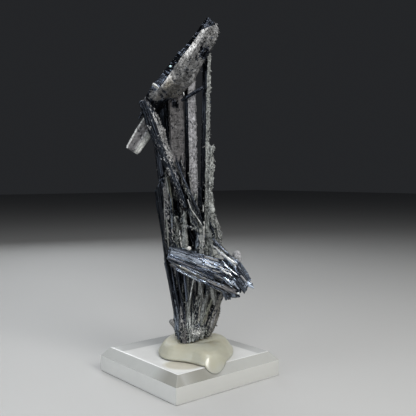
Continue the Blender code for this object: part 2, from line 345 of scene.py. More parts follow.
def sectionLoop(ridge, halfWidth, halfDepth, cell):
    # six-sided outline on a unit square, walked anticlockwise with a point every cell
    corners = np.array([
        (-1, sideEdge), (-1, -sideEdge), (ridge, -1), (1, -sideEdge), (1, sideEdge), (-ridge, 1)
    ], float)
    size = np.array([halfWidth, halfDepth])
    points, facets, inward = [], [], []
    for index in range(6):
        start, end = corners[index], corners[(index + 1) % 6]
        run = (end - start) * size
        length = np.hypot(*run)
        count = max(2, round(length / cell))
        share = np.arange(count)[:, None] / count
        points.append(start + (end - start) * share)
        facets.append(np.full(count, index))
        inward.append(np.tile(np.array([-run[1], run[0]]) / length, (count, 1)))
    points, facets, inward = np.concatenate(points), np.concatenate(facets), np.concatenate(inward)
    steps = np.hypot(*((np.roll(points, -1, 0) - points) * size).T)
    arc = np.concatenate([[0], np.cumsum(steps)[:-1]])
    return points, facets, inward, arc, steps.sum()


def bandsAround(facets, arc, total, rng, widths):
    # number of the striation band that each point of the outline lies in, a new one on each facet
    edges = np.cumsum(rng.uniform(*widths, int(total / widths[0]) + 2))
    band = np.searchsorted(edges, arc) + facets * 3
    return np.unique(band, return_inverse=True)[1]


def placeInBand(band, arc):
    # 0 at the start of each point's band and 1 at its end
    order = np.arange(band.max() + 1)
    first = np.array([arc[band == b].min() for b in order])
    last = np.array([arc[band == b].max() for b in order])
    return (arc - first[band]) / np.maximum(last - first, 0.3)[band]


striation = {
    "fullRelief": 1.6,        # half size in millimetres below which the relief gets shallower
    "deepShare": 0.18,        # share of the bands that lie deeper than the others
    "lean": 0.28,             # how far a band may tilt
    "paleCoat": 0.85,         # crust on a band that is broken up pale
    "coatHolds": 0.6,         # share of the relief that a full crust fills in
    "edgeWaver": 0.12,
    "tipRun": 7.0,            # length over which the end is shaped
    "caps": (0.72, 0.42, 0.16),       # sizes of the rings that close the end
}


def striated(foot, tip, stations, ridge, cut, coats, tint, seed, cell=(0.3, 0.85),
             depths=(0.0, 0.3), widths=(0.4, 1.3), ragged=2.0, lump=0.45, stepIn=0.16, crossRidges=0.0,
             shades=(0.3, 1.7), paleBands=0.0):
    # Section carried from foot to tip. A point is the outline at its place around, sized by
    # the stations at its place along, moved inwards by the depth of its striation band and
    # by each step where that band ends, and outwards by noise where it is crusted.
    rng = np.random.default_rng(seed)
    foot, tip = np.array(foot, float), np.array(tip, float)
    length = np.linalg.norm(tip - foot)
    axis = (tip - foot) / length
    deep = unit(np.array([0, 1, 0]) - axis * axis[1])
    across = np.cross(deep, axis)
    shares, *sides = np.array(stations, float).T
    meanSize = [np.mean(side) for side in sides]
    outline, facets, inward, arc, total = sectionLoop(
        ridge, (meanSize[0] + meanSize[1]) / 2, (meanSize[2] + meanSize[3]) / 2, cell[0]
    )
    rows = max(10, int(length / cell[1]))
    share = np.linspace(0, 1, rows)[:, None]
    left, right, front, back = (np.interp(share, shares, side) for side in sides)
    x = outline[:, 0] * np.where(outline[:, 0] < 0, left, right)
    y = outline[:, 1] * np.where(outline[:, 1] < 0, front, back)

    band = bandsAround(facets, arc, total, rng, widths)
    count = band.max() + 1
    size = min(1.0, min(meanSize) / striation["fullRelief"])
    depth = rng.uniform(*depths, count) * size
    deepest = rng.random(count) < striation["deepShare"]
    depth[deepest] += depths[1] * size
    breaks = rng.uniform(0.12, 1.0, (3, count))
    drops = rng.uniform(0.0, stepIn, (3, count)) * size
    lean = rng.uniform(-1, 1, count) * striation["lean"] * size
    sunk = depth[band] + sum((share > b[band]) * d[band] for b, d in zip(breaks, drops))
    sunk = sunk + lean[band] * placeInBand(band, arc)

    along = share * length
    coat = np.array(coats)[facets] + np.zeros_like(share)
    broken = softNoise(along / 1.6, band * 3.7, seed + 0.9) > 0.5
    coat = np.where((rng.random(count) < paleBands)[band] & broken, striation["paleCoat"], coat)
    coat = np.clip(coat + (softNoise(arc / 2.2, along / 5.0, seed) - 0.5) * 0.5, 0, 1)
    crumb = softNoise(arc / 0.8, along / 1.0, seed + 0.3) * 0.6
    crumb = crumb + softNoise(arc / 2.4, along / 3.4, seed + 0.7) - 0.85
    sunk = sunk * (1 - striation["coatHolds"] * coat) - crumb * lump * coat * size
    edge = softNoise(arc / 1.3, along / 9.0, seed + 0.1) - 0.5
    sunk = sunk + edge * striation["edgeWaver"] * size
    ribs = softNoise(along / 0.45, arc / 6.0, seed + 0.2) * 0.5
    ribs = ribs + np.floor(softNoise(along / 3.5, 0, seed) * 4) / 3
    sunk = sunk + crossRidges * ribs * np.isin(facets, (0, 1))
    x = x + inward[:, 0] * sunk
    y = y + inward[:, 1] * sunk

    shortBy = rng.uniform(0, 1, count) ** 2 * ragged
    reach = min(striation["tipRun"], 0.4 * length)
    pull = ease(0, 1, (along - length + reach) / reach)
    along = along + pull * (cut * x - shortBy[band])

    caps = striation["caps"]
    middleX, middleY = x[-1].mean(), y[-1].mean()
    capX = [middleX + (x[-1] - middleX) * f for f in caps]
    capY = [middleY + (y[-1] - middleY) * f for f in caps]
    level = along[-1].mean()
    capAlong = [
        level + (along[-1] - level) * (0.5 + 0.5 * f) - ragged * 0.25 * softNoise(cx / 0.9, cy / 0.9, seed)
        for f, cx, cy in zip(caps, capX, capY)
    ]
    x, y = np.vstack([x] + capX), np.vstack([y] + capY)
    along = np.vstack([np.broadcast_to(along, (rows, len(arc)))] + capAlong)
    points = foot + axis * along[..., None] + across * x[..., None] + deep * y[..., None]

    coat = np.vstack([coat] + [coat[-1] * 0.7] * len(caps))
    shade = np.broadcast_to(rng.uniform(*shades, count)[band], x.shape).copy()
    lie = np.stack([np.broadcast_to(arc, x.shape), along, np.full(x.shape, seed * 7.31)], -1)
    colour = np.ones((*x.shape, 4))
    colour[..., :3] = tint
    colour[..., :3] *= (0.85 + 0.3 * softNoise(arc / 3.0, along / 6.0, seed + 0.5))[..., None]
    return {
        "grid": points, "coat": coat, "shade": shade, "tint": colour, "lie": lie,
        "px": np.broadcast_to(outline[:, 0], x.shape), "facets": facets,
        "share": along / length,
    }


def closed(shape):
    # flattens a grid of rings and closes both ends
    rings, around = shape["grid"].shape[:2]
    quads, tris = gridFaces(rings, around)
    ends = [0, -1]
    flat = {"quads": quads, "tris": tris}
    flat["points"] = np.concatenate([shape["grid"].reshape(-1, 3), shape["grid"][ends].mean(1)])
    for key in ("coat", "shade", "tint", "lie"):
        width = 1 if shape[key].ndim == 2 else shape[key].shape[-1]
        grid = shape[key].reshape(rings, around, width)
        flat[key] = np.concatenate([grid.reshape(-1, width), grid[ends].mean(1)])
    return flat


footSize, shoulder, ledgeRun = 0.65, 0.22, 0.02


def prism(row, seed, **options):
    # Half sizes from foot to tip: slim at the foot, full from the shoulder to the ledge, half
    # of the taper taken off in one step at the ledge, and the rest evenly up to the tip.
    step = (1 - row.taper) * 0.5
    shares = (0.0, shoulder, row.ledge, row.ledge + ledgeRun, 1.0)
    sizes = (footSize, 1.0, 1.0, 1.0 - step, row.taper)
    wide, deep = row.width / 2, row.depth / 2
    stations = [(share, *[wide * size] * 2, *[deep * size] * 2) for share, size in zip(shares, sizes)]
    made = striated(row.foot, row.tip, stations, row.ridge, row.cut, row.coats, palette[row.tint], seed,
                    lump=row.lump, **options)
    made["shade"] = made["shade"] * row.gloss
    return made


def prisms(rows, firstSeed, usual=usualCrystal, **options):
    # one crystal for each row, with the values that the row leaves out taken from the usual ones
    given = 7
    full = [Crystal(*row, *usual[len(row) - given:]) for row in rows]
    return [prism(row, firstSeed + index, **options) for index, row in enumerate(full)]


def lumpyBall(centre, radii, tint, rings, around, seed, rough=0.25):
    # a ball by its two angles, pushed in and out by noise
    rise = np.linspace(-math.pi / 2, math.pi / 2, rings + 2)[1:-1, None]
    turn = np.linspace(0, 2 * math.pi, around, endpoint=False)[None]
    x, y = np.cos(rise) * np.cos(turn), np.cos(rise) * np.sin(turn)
    z = np.sin(rise) + np.zeros_like(turn)
    swell = 1 - rough * (1 - softNoise(x * 2.2 + z, y * 2.2 - z * 1.7, seed))
    points = np.array(centre) + np.stack([x, y, z], -1) * swell[..., None] * np.array(radii)
    colour = np.ones((*x.shape, 4))
    colour[..., :3] = tint
    ones = np.ones(x.shape)
    lie = np.stack([turn * ones, rise * 3 * ones, seed * ones], -1)
    return {"grid": points, "coat": ones, "shade": ones, "tint": colour, "lie": lie}


# Ovals on the front of the spray: x and z of the middle, half width and half height in
# millimetres, the crust that is added there, and what the colour there is multiplied by, which
# below 1 is partly painted shade in the hollows and gaps between the crystals.
crustAndShadePatches = [
    (-4.6, 66.3, 1.7, 3.8, -0.7, 0.6),
    (0.5, 54.4, 1.9, 4.6, -1.2, 0.25),
    (-4.6, 57.5, 1.9, 6.5, 0.3, 1.2),
    (-8.4, 75.5, 1.6, 5.0, 0.5, 1.25),
    (-7.6, 63.0, 2.2, 9.0, 0.3, 1.0),
    (-5.1, 106.4, 1.4, 1.6, -0.5, 0.5),
    (-3.0, 104.0, 0.8, 1.0, -0.2, 0.8),
    (-8.4, 81.0, 1.6, 3.4, -0.6, 0.6),
    (-1.2, 77.0, 2.6, 6.4, -0.45, 0.75),
    (6.0, 70.6, 0.8, 3.4, -0.8, 0.5),
    (9.3, 57.0, 1.5, 4.4, -0.35, 0.5),
    (-10.2, 102.5, 2.0, 8.0, -1.2, 0.35),
    (-5.0, 94.5, 3.0, 8.5, 0.05, 0.75),
]
nests = [               # ovals of grains: middle (x, z), half width, half height and share of the grains
    (-8.4, 81.0, 1.7, 3.6, 1.0),
    (-4.7, 57.2, 1.9, 5.4, 0.8),
    (-7.6, 54.6, 1.3, 1.6, 0.2),
    (-1.2, 76.8, 2.0, 5.6, 0.8),
    (-4.8, 83.4, 1.0, 0.9, 0.8),
    (9.9, 62.4, 1.6, 2.2, 1.0),
    (11.6, 55.6, 1.9, 4.4, 1.4),
    (7.4, 67.5, 1.4, 4.0, 0.7),
    (3.0, 62.5, 1.9, 3.8, 0.6),
    (5.6, 50.4, 2.9, 1.4, 0.9),
    (-1.0, 51.8, 1.3, 1.2, 0.5),
]


def insideOvals(grid, rows):
    # for each oval 1 well inside it, falling to 0 over its edge
    x, z = grid[..., 0], grid[..., 2]
    return [np.exp(-((x - row[0]) / row[2]) ** 4 - ((z - row[1]) / row[3]) ** 4) for row in rows]


def patched(shape, rows):
    # adds or takes crust, and makes the colour lighter or darker, the darker partly painted shade, where
    # the front of the shape lies inside an oval
    front = np.isin(shape["facets"], (0, 1, 2, 3))
    for row, near in zip(rows, insideOvals(shape["grid"], rows)):
        shape["coat"] = np.clip(shape["coat"] + row[4] * near * front, 0, 1)
        shape["tint"][..., :3] *= (1 + (row[5] - 1) * near * front)[..., None]
        shape["shade"] = shape["shade"] * (1 + (min(row[5], 1) - 1) * near * front)
    return shape


def mottled(shape, shift, shades, bare):
    # tint times a shade that follows soft noise, and no crust where its finer part is lowest
    around, along = shape["lie"][..., 0], shape["lie"][..., 1]
    specks = softNoise(around / 0.42, along / 0.5, shift)
    mottle = softNoise(around / 1.1, along / 1.5, shift + 1) * 0.5 + specks * 0.5
    low, high = shades
    shape["tint"][..., :3] *= (low + (high - low) * ease(0.3, 0.65, mottle))[..., None]
    shape["coat"] = shape["coat"] * (1 - bare * (1 - ease(0.1, 0.2, specks)))
    return shape


def grains(name, hosts, look, node):
    # small eight-sided crystals that stand on the crusted parts of their hosts, or in nests
    rng = np.random.default_rng(look["seed"])
    places, normals, tints, weights = [], [], [], []
    for host in hosts:
        grid = host["grid"]
        around = np.roll(grid, -1, 1) - np.roll(grid, 1, 1)
        along = np.gradient(grid, axis=0)
        normal = np.cross(around, along)
        area = np.linalg.norm(normal, axis=-1)
        weight = area * np.clip(host["coat"] - look["from"], 0, 1) ** 2
        if "nests" in look:
            near = sum(row[4] * oval for row, oval in zip(look["nests"], insideOvals(grid, look["nests"])))
            weight = area * near * (normal[..., 1] < -0.3 * area) * (grid[..., 1] < look["frontFrom"])
        weight = weight * (grid[..., 2] > look["lowest"])
        places.append(grid.reshape(-1, 3))
        normals.append(unit(normal).reshape(-1, 3))
        tints.append(host["tint"].reshape(-1, 4))
        weights.append(weight.ravel())
    places, normals, tints = map(np.concatenate, (places, normals, tints))
    weights = np.concatenate(weights)
    chosen = rng.choice(len(places), look["count"], p=weights / weights.sum())
    count = len(chosen)
    spread = rng.normal(0, 1, (count, 3))
    up = unit(normals[chosen] + spread * 0.55)
    side = unit(np.cross(up, rng.normal(0, 1, (count, 3))))
    other = np.cross(up, side)
    size = rng.uniform(*look["size"], (count, 1)) * rng.uniform(0.7, 1.3, (count, 1))
    middle = places[chosen] + rng.normal(0, 0.15, (count, 3)) + normals[chosen] * size * 0.2
    tall = rng.uniform(0.8, 1.6, (count, 1))
    arms = [side * size, other * size * 0.8, up * size * tall]
    corners = [middle + arms[0], middle + arms[1], middle - arms[0], middle - arms[1]]
    corners = np.stack([*corners, middle + arms[2], middle - arms[2]], 1)
    faces = np.array([
        [0, 1, 4], [1, 2, 4], [2, 3, 4], [3, 0, 4], [1, 0, 5], [2, 1, 5], [3, 2, 5], [0, 3, 5]
    ])
    tris = (faces + np.arange(count)[:, None, None] * 6).reshape(-1, 3)
    tint = np.array([*look["tint"], 1.0]) if "tint" in look else tints[chosen]
    tint = tint * rng.uniform(*look["shade"], (count, 1))
    dark = rng.random(count) < look["dark"]
    coat = np.where(dark, 0.0, 1.0)
    lie = np.stack([rng.uniform(0, 9, count), rng.uniform(0, 9, count), np.arange(count)], -1)
    shape = {
        "points": corners.reshape(-1, 3), "quads": np.zeros((0, 4), int), "tris": tris,
        "coat": np.repeat(coat, 6), "shade": np.ones(6 * count), "tint": np.repeat(tint, 6, 0),
        "lie": np.repeat(lie, 6, 0),
    }
    buildPiece(name, [shape], node, "pale_crystal")


# ---- upright crystals

uprightRows = {
    "leftUprights": [
        ((-0.6, -2.2, 15.6), (-10.9, -2.2, 76.6), 6.6, 5, -0.3, (0.05, 0, 0.08, 0.2, 0.3, 0.2), "grey",
         0.8, 0.45, 1.2, 0.95, 0.86),
        ((-0.6, 0.6, 15.6), (-11.6, 0.8, 92.5), 5.6, 4.6, 0.1, (0.1, 0.12, 0.3, 0.3, 0.4, 0.3), "pink", 1,
         0.45, -0.5, 0.9),
        ((-0.2, -2.4, 15.6), (-5.6, -2.6, 72), 3, 3, -0.2, (0.1, 0.1, 0.75, 0.4, 0.4, 0.4), "green", 1,
         0.45, 0.6, 0.9, 0.7),
    ],
    "middleUprights": [
        ((-1.5, 1.4, 15.6), (-5.3, 1.2, 116.5), 6.2, 4.6, -0.75, (0.8, 0.85, 0.88, 0.8, 0.7, 0.7), "pink",
         1, 0.45, 0.8, 1, 0.52),
        ((2.5, 0.4, 15.6), (0.4, 0.4, 121), 4.9, 4.4, -0.28, (0.1, 0.02, 0.92, 0.9, 0.6, 0.3), "white",
         0.6, 0.5, 0.9, 0.95),
    ],
    "rightUprights": [
        ((5.4, -1.4, 15.6), (7.2, -1.4, 124.4), 3.8, 3.8, 0.2, (0.1, 0.02, 0.96, 0.85, 0.6, 0.3), "sage",
         0.4, 0.6, 0.9, 0.95, 0.33),
        ((6.2, -0.6, 15.6), (8.8, -0.4, 91), 4.2, 5.4, 0.1, (0.7, 0.8, 0.95, 0.95, 0.9, 0.7), "sage", 1,
         2, -0.4, 0.85, 0.62),
        ((5.2, 1, 15.6), (11.6, 0.8, 57.5), 5.4, 5, 0.2, (0.4, 0.6, 0.85, 0.9, 0.8, 0.7), "sage", 1, 1.8,
         -0.5, 0.8, 0.8),
        ((5, -1.2, 15.6), (14.6, -2.4, 42.5), 4.6, 4.4, 0.4, (0.3, 0.55, 0.8, 0.9, 0.8, 0.6), "sage", 1,
         1, -0.5, 1, 0.7),
    ],
    "backUprights": [
        ((0.6, 2.2, 15.6), (-7.4, 5.4, 99), 4.6, 4.4, 0.3, (0.2, 0.3, 0.3, 0.3, 0.6, 0.2), "grey", 1,
         0.45, 0.6, 0.85, 0.7),
        ((2.6, 2.4, 15.6), (1.2, 5.2, 108), 4.2, 4.2, -0.2, (0.5, 0.3, 0.6, 0.8, 0.3, 0.9), "white", 1,
         0.45, -0.6, 0.9, 0.5),
        ((0, 1.8, 15.6), (-9.8, 4.8, 63), 4.4, 4.2, 0, (0.1, 0.1, 0.1, 0.1, 0.1, 0.1), "grey", 1, 0.45,
         0.5, 0.85, 0.75),
        ((5, 2, 15.6), (7.2, 5, 79), 4.6, 4.4, 0.2, (0.7, 0.7, 0.85, 0.8, 0.8, 0.4), "grey", 1, 0.45, 0.5,
         0.85),
        ((5.6, 1.6, 15.6), (12.6, 4.4, 44), 4.4, 4.2, -0.3, (0.3, 0.3, 0.8, 0.7, 0.5, 0.2), "green", 1,
         0.45, -0.4, 0.9, 0.8),
        ((3.4, 2.6, 15.6), (3.4, 7.6, 58), 4, 3.6, 0.1, (0.2, 0.2, 0.2, 0.2, 0.15, 0.7), "warm", 1, 0.45,
         0.7, 0.9, 0.7),
        ((-2.4, 1.8, 30), (-10.2, 1.8, 107.6), 4.6, 2.6, 0.3, (0.05,) * 6, "grey", 0.5, 0.4, 0.6, 1, 0.7),
    ],
}
uprights = {}
for number, (name, rows) in enumerate(uprightRows.items()):
    cell = (0.35, 0.85) if name == "backUprights" else (0.25, 0.5)
    shades = (0.2, 2.0) if name == "leftUprights" else (0.3, 1.7)
    shapes = prisms(rows, 20 + 10 * number, cell=cell, shades=shades)
    uprights[name] = [patched(shape, crustAndShadePatches) for shape in shapes]
    buildPiece(name, uprights[name], "upright_spray")


# ---- posts, root block and the fan of needles under the bundle

rootLook = {
    "centre": (2.0, -1.0),
    "outline": [          # height, then how far it reaches left, right, front and back
        (11.6, 3.6, 4.4, 4.4, 3.0),
        (16.0, 6.4, 7.4, 5.0, 4.2),
        (22.0, 7.8, 9.8, 4.3, 4.8),
        (32.0, 8.8, 11.6, 3.6, 5.4),
    ],
    "needleFeet": (-3.0, 7.0),
    "needleTips": (-8.2, 12.6),
    "frontY": (-3.4, -4.3),
    "backY": (2.6, 6.0),
    "frontCount": 54,
    "backCount": 26,
    "width": (0.4, 1.9),
    "footRise": 12.0,
    "tipHeight": (26.0, 46.0),
    "lowest": 15.8,
    "highest": 50,
    "fanHeight": 30,      # the fan has its full width this far above the feet
}
postRows = [
    ((0.4, -3.2, 15.6), (-1.6, -4.6, 65.6), 2.7, 3, 0.1, (0.4, 0.8, 0.95, 0.6, 0.3, 0.3), "sage", 1, 0.45,
     0.2, 0.95, 0.9),
    ((4.4, -3.2, 15.6), (5.7, -4.6, 61.2), 2.6, 3, 0.2, (0.6, 0.9, 0.75, 0.4, 0.3, 0.3), "pale", 1, 0.3,
     0.2, 0.95, 0.9),
    ((3.2, -2.2, 15.6), (3.4, -2.6, 70.5), 3, 2.8, 0.2, (0.2, 0.1, 0.5, 0.4, 0.3, 0.3), "grey", 1, 0.45,
     -0.5, 0.9, 0.7),
]


def fanOfNeedles(look, count, feetY, seed):
    # crystals whose feet stand along one line and whose tips end along a wider one
    rng = np.random.default_rng(seed)
    names = ["grey", "green", "white", "warm", "pink", "blue"]
    rows = []
    for share in (np.arange(count) + rng.uniform(0, 1, count)) / count:
        low, high = look["needleFeet"]
        lowTip, highTip = look["needleTips"]
        footY, tipY = feetY
        width = look["width"][0] + (look["width"][1] - look["width"][0]) * rng.random() ** 2
        dark = rng.random() < 0.65 - 0.5 * share
        coats = rng.uniform(0.0, 0.12, 6) if dark else rng.uniform(0.4, 1.0, 6)
        rise = rng.uniform(0, 1) ** 1.5 * look["footRise"]
        level = rise / look["fanHeight"]
        footX = low + (high - low) * share
        tipX = lowTip + (highTip - lowTip) * share
        tipZ = rise + rng.uniform(*look["tipHeight"])
        spread = tipX - footX
        foot = (footX + spread * level + rng.normal(0, 0.5), footY + rng.uniform(-0.5, 0.5),
                look["lowest"] + rise)
        reach = min(1.0, (tipZ - look["lowest"]) / look["fanHeight"])
        tip = (footX + spread * reach + rng.normal(0, 1.0), tipY + rng.uniform(-0.5, 0.8),
               min(tipZ, look["highest"]))
        ridge, cut, ledge = rng.uniform(-0.5, 0.5), rng.uniform(-1, 1), rng.uniform(0.5, 0.9)
        tint, gloss = names[rng.integers(len(names))], rng.uniform(0.5, 2.6)
        rows.append((foot, tip, width, width * 1.2, ridge, coats, tint, gloss, 0.6, cut, 0.8, ledge))
    return rows


def rootBlock(look):
    # one wide section carried upright through the outline's sizes
    heights = np.array([row[0] for row in look["outline"]])
    shares = (heights - heights[0]) / (heights[-1] - heights[0])
    stations = [(share, *row[1:]) for share, row in zip(shares, look["outline"])]
    foot = (*look["centre"], heights[0])
    tip = (*look["centre"], heights[-1])
    coats = (0.2, 0.6, 0.8, 0.8, 0.5, 0.4)
    return striated(foot, tip, stations, 0.1, 0.0, coats, palette["warm"], 5, cell=(0.3, 0.3),
                    depths=(0.0, 0.6), ragged=3.0, lump=1.0)


root = rootBlock(rootLook)
speckled = (0.5, 0.55, 0.6, 0.6, 0.5, 0.5)
needleRows = [        # the needles that stand out among the others
    ((-3.2, -4.2, 15.8), (-9.9, -4.4, 54.2), 1.9, 2, -0.2, bare, "grey", 1.8, 0.3, 1, 0.6, 0.8),
    ((-1.6, -4.4, 15.8), (-6.9, -4.8, 45.6), 1.3, 1.8, -0.2, bare, "blue", 2.2, 0.3, 0.8, 0.6, 0.8),
    ((-0.9, -4.6, 15.8), (-4.8, -5, 45.4), 1.1, 1.6, 0.2, bare, "blue", 1.8, 0.3, 0.5, 0.8, 0.8),
    ((-2.8, -5, 17), (-5.9, -5, 34.2), 0.7, 1.4, 0, dusty, "blue", 1, 0.45, 0.5, 0.8, 0.8),
    ((-0.4, -5, 29.5), (-1.6, -5.4, 43.4), 1.3, 1.8, 0.1, bare, "blue", 2.6, 0.3, 0.5, 0.9),
    ((0.7, -5.4, 30.3), (2.5, -5.6, 40.4), 0.6, 1.6, 0, crusted, "bright"),
    ((-0.5, -5, 21.2), (0.9, -5.4, 31.4), 1.1, 1.6, 0.1, crusted, "green"),
    ((1.1, -5, 16.4), (3.5, -5.4, 31.9), 1.6, 1.8, -0.2, speckled, "sage", 1, 0.45, 0.5, 0.7),
    ((3.4, -5, 16.5), (4.4, -5.2, 28.3), 1.4, 1.6, 0.2, speckled, "warm", 1, 0.45, 0.5, 0.6),
    ((6.2, -5.2, 28), (4.6, -5.4, 39.6), 0.7, 1.6, 0, crusted, "pale"),
    ((10.1, -4.8, 28.4), (8.5, -5.2, 38.4), 1.7, 1.8, -0.3, crusted, "pale"),
    ((6.6, -4.2, 16.3), (13.4, -4.2, 33.4), 2.4, 2.2, -0.3, speckled, "warm", 1, 0.9, 0.5, 1.2),
    ((5.8, -4.8, 18), (12, -4.8, 31), 0.8, 1.4, 0, bare, "pink", 0.8, 0.3),
    ((4.2, -5, 18.1), (9.6, -5.2, 31.2), 1.3, 1.5, 0.3, crusted, "olive"),
    ((3.1, -5.4, 21.5), (1.7, -5.4, 34.8), 1.3, 1.4, 0, dusty, "green"),
    ((5, -5.4, 20.3), (7.2, -5.4, 31.3), 1.7, 1.6, 0, crusted, "green"),
    ((1.9, -5.4, 18.6), (5, -5.4, 32.1), 1, 1.3, 0, dusty, "sage"),
    ((4.6, -5.2, 22), (8.4, -5.4, 36), 1.5, 1.6, 0, speckled, "sage", 1, 0.9),
    ((9.4, -4.8, 23), (5.6, -5.2, 34), 0.8, 1.3, 0, dusty, "warm"),
    ((-3.6, -4.8, 24), (-1.6, -5, 38), 0.7, 1.3, 0, dusty, "green"),
    ((11, -4.2, 26), (10.2, -4.6, 38), 1.6, 1.6, 0.3, speckled, "green", 1, 0.8),
    ((8.2, -4.6, 17), (11.2, -4.4, 27), 1.5, 1.6, 0.3, speckled, "grey", 1, 1),
]
toeRows = [             # the foot of the spray, which comes forward to a point over the glue
    ((-4.4, -5.2, 16.2), (-5.9, -3.6, 33), 1.8, 2, 0, speckled, "blue", 1, 0.6),
    ((-3.4, -6.2, 15), (-4.6, -3.8, 29), 2.2, 2.2, -0.2, speckled, "blue", 1, 0.8, -0.9),
    ((-2.4, -7.2, 14), (-3, -3.8, 34), 2, 2.2, -0.2, speckled, "grey", 1, 0.8, 0.9, 0.4),
    ((-1.4, -7.9, 13.4), (-1.4, -3.8, 27), 2.2, 2.4, 0.1, speckled, "pink", 1, 0.9, -0.9),
    ((0.2, -7.4, 14), (0.4, -3.8, 31), 2.4, 2.4, 0.3, speckled, "sage", 1, 0.9, 0.9, 0.4),
    ((1.8, -7.2, 14.4), (1.8, -3.8, 26), 2.2, 2.4, -0.3, speckled, "sage"),
    ((3.4, -6.8, 14.8), (4, -3.8, 29), 2.4, 2.2, 0, speckled, "sage", 1, 1, -0.9, 0.4),
    ((5.2, -6.2, 15.2), (6.2, -3.8, 26), 2.4, 2.2, 0, speckled, "sage"),
    ((7.2, -5.4, 15.6), (9.2, -3.6, 31), 2.4, 2.2, 0.2, speckled, "warm"),
]
hookLook = {            # the curled pale piece at the foot: middles of overlapping knobs, and how thick
    "path": [(-6.4, 21.6), (-6.1, 21.1), (-5.6, 20.4), (-5.2, 19.6), (-4.9, 18.8), (-4.6, 17.9),
             (-4.2, 17.0), (-3.9, 16.2)],
    "y": -4.4,
    "thick": (1.15, 0.7),
}
sliverRows = [        # short pieces lodged between the uprights above the bundle
    ((-8.6, -4.6, 80.2), (-7.4, -5, 71.4), 0.9, 1.8, -0.2, crusted, "green", 1, 0.3, 0.4, 0.9),
    ((-7.5, -4.4, 78.3), (-5.6, -4.8, 64), 0.8, 1.6, 0, crusted, "olive"),
    ((-6.6, -4.4, 72), (-6.2, -4.8, 58), 0.7, 1.6, 0.1, dusty, "blue"),
    ((-4.2, -5.6, 70.8), (-2.5, -5.8, 64.4), 0.5, 1.4, 0, crusted, "green"),
    ((0, -8, 69.6), (1.3, -8, 65.7), 0.32, 1.6, 0, crusted, "bright", 1, 0.3, 0.1, 0.9),
    ((1.1, -8, 66.1), (5.9, -7.9, 59.2), 0.28, 1.5, 0, crusted, "bright", 1, 0.1, 0.1, 0.9),
    ((-2.3, -8.2, 77.5), (-0.6, -8.4, 72.2), 0.45, 1.6, 0.1, crusted, "pale", 1, 0.4, 0.1, 0.7),
    ((-1.5, -8.2, 74.9), (1.4, -8, 70.7), 0.35, 1.6, 0, crusted, "pale", 1, 0.4, 0.1),
    ((0.9, -4.6, 67.2), (3.9, -5.4, 56.6), 3.5, 2.6, -0.3, (0.4, 0.62, 0.5, 0.5, 0.4, 0.4), "green", 1.2,
     0.7, -0.5, 1.2, 0.5),
    ((-0.6, -6.6, 59.2), (0.9, -6.8, 58.9), 0.6, 1.4, 0, crusted, "pale", 1, 0.8, 0, 1.2),
    ((0.7, -6.6, 59), (2, -6.8, 57.9), 1.2, 1.4, 0, crusted, "pale", 1, 1.4, 0, 1),
    ((0.1, -5.6, 58.5), (2.8, -5.6, 53.2), 0.5, 1.2, 0, dusty, "grey", 1, 0.45, 0),
    ((3.9, -4.8, 57), (3.2, -5, 49), 1.6, 2.2, 0.2, dusty, "blue", 1.8, 0.4, 0.6, 0.9),
    ((3.9, -5.6, 55.6), (5.1, -5.6, 51.7), 0.35, 1.2, 0, crusted, "pale", 1, 0.45, 0),
    ((5.7, -4.2, 68.4), (5.9, -4.2, 64.4), 0.5, 1, 0, crusted, "bright", 1, 0.3, 0),
    ((5.5, -3, 89.4), (7.3, -3.3, 90.3), 0.4, 0.9, 0, crusted, "grey", 1, 0.3, 0, 0.9),
    ((4.7, -3.2, 66), (4.6, -3.2, 74.3), 1.8, 2.4, 0.1, bare, "blue", 0.8, 0.3, 0, 1.2, 0.9),
    ((-3.4, -3.4, 84), (-0.6, -3.6, 71), 1.3, 1.8, 0.1, crusted, "pink", 1, 1),
    ((0.4, -3, 80), (1.4, -3.2, 70), 0.9, 1.8, 0.1, crusted, "grey", 1, 0.8),
    ((8.7, -3, 60.4), (10.6, -3.4, 50), 1.7, 2, 0.1, dusty, "pink", 1, 0.8, 0.2, 0.9),
    ((10.6, -2.4, 62.4), (13, -2.8, 50.6), 1.4, 2, 0.1, crusted, "grey", 1, 1.2, 0.2, 0.9),
    ((8.8, -2.4, 67), (9.8, -2.8, 47), 3.6, 3, 0.1, crusted, "sage", 1, 1.6, 0.4, 1.1),
    ((-8.4, -4.2, 62), (-7.6, -4.4, 50), 0.8, 1.6, 0.1, crusted, "green"),
    ((-9.4, -4, 74), (-8.8, -4.2, 52), 0.5, 1.4, 0.1, dusty, "grey"),
    ((-6, -4.6, 70), (-5, -4.8, 60), 0.9, 1.6, -0.2, dusty, "sage"),
]
looseLook = {           # thin pieces between the uprights, with their middles inside a slanted strip
    "count": 46,
    "top": (-4.4, 84.0),
    "bottom": (2.2, 49.0),
    "halfWidths": (3.6, 6.6),
    "frontY": (-4.6, -3.2),
    "length": (3.0, 11.0),
    "width": (0.35, 0.95),
}


def looseSlivers(look, seed):
    # middles at random in the strip, turned a little off the upright
    rng = np.random.default_rng(seed)
    names = ["grey", "green", "blue", "pale", "pink", "olive"]
    rows = []
    for share in rng.uniform(0, 1, look["count"]):
        half = look["halfWidths"][0] * (1 - share) + look["halfWidths"][1] * share
        middleX = look["top"][0] * (1 - share) + look["bottom"][0] * share + rng.uniform(-half, half)
        middleZ = look["top"][1] * (1 - share) + look["bottom"][1] * share
        y = rng.uniform(*look["frontY"])
        run = rng.uniform(*look["length"]) / 2
        lean = rng.normal(0.12, 0.22)
        width = rng.uniform(*look["width"])
        coats = crusted if rng.random() < 0.4 else bare
        foot = (middleX - lean * run, y, middleZ + run)
        tip = (middleX + lean * run, y - 0.3, middleZ - run)
        ridge, cut = rng.uniform(-0.5, 0.5), rng.uniform(-1, 1)
        tint, gloss = names[rng.integers(len(names))], rng.uniform(0.6, 2.4)
        rows.append((foot, tip, width, width * 2.2, ridge, coats, tint, gloss, 0.6, cut, 0.8, 0.6))
    return rows


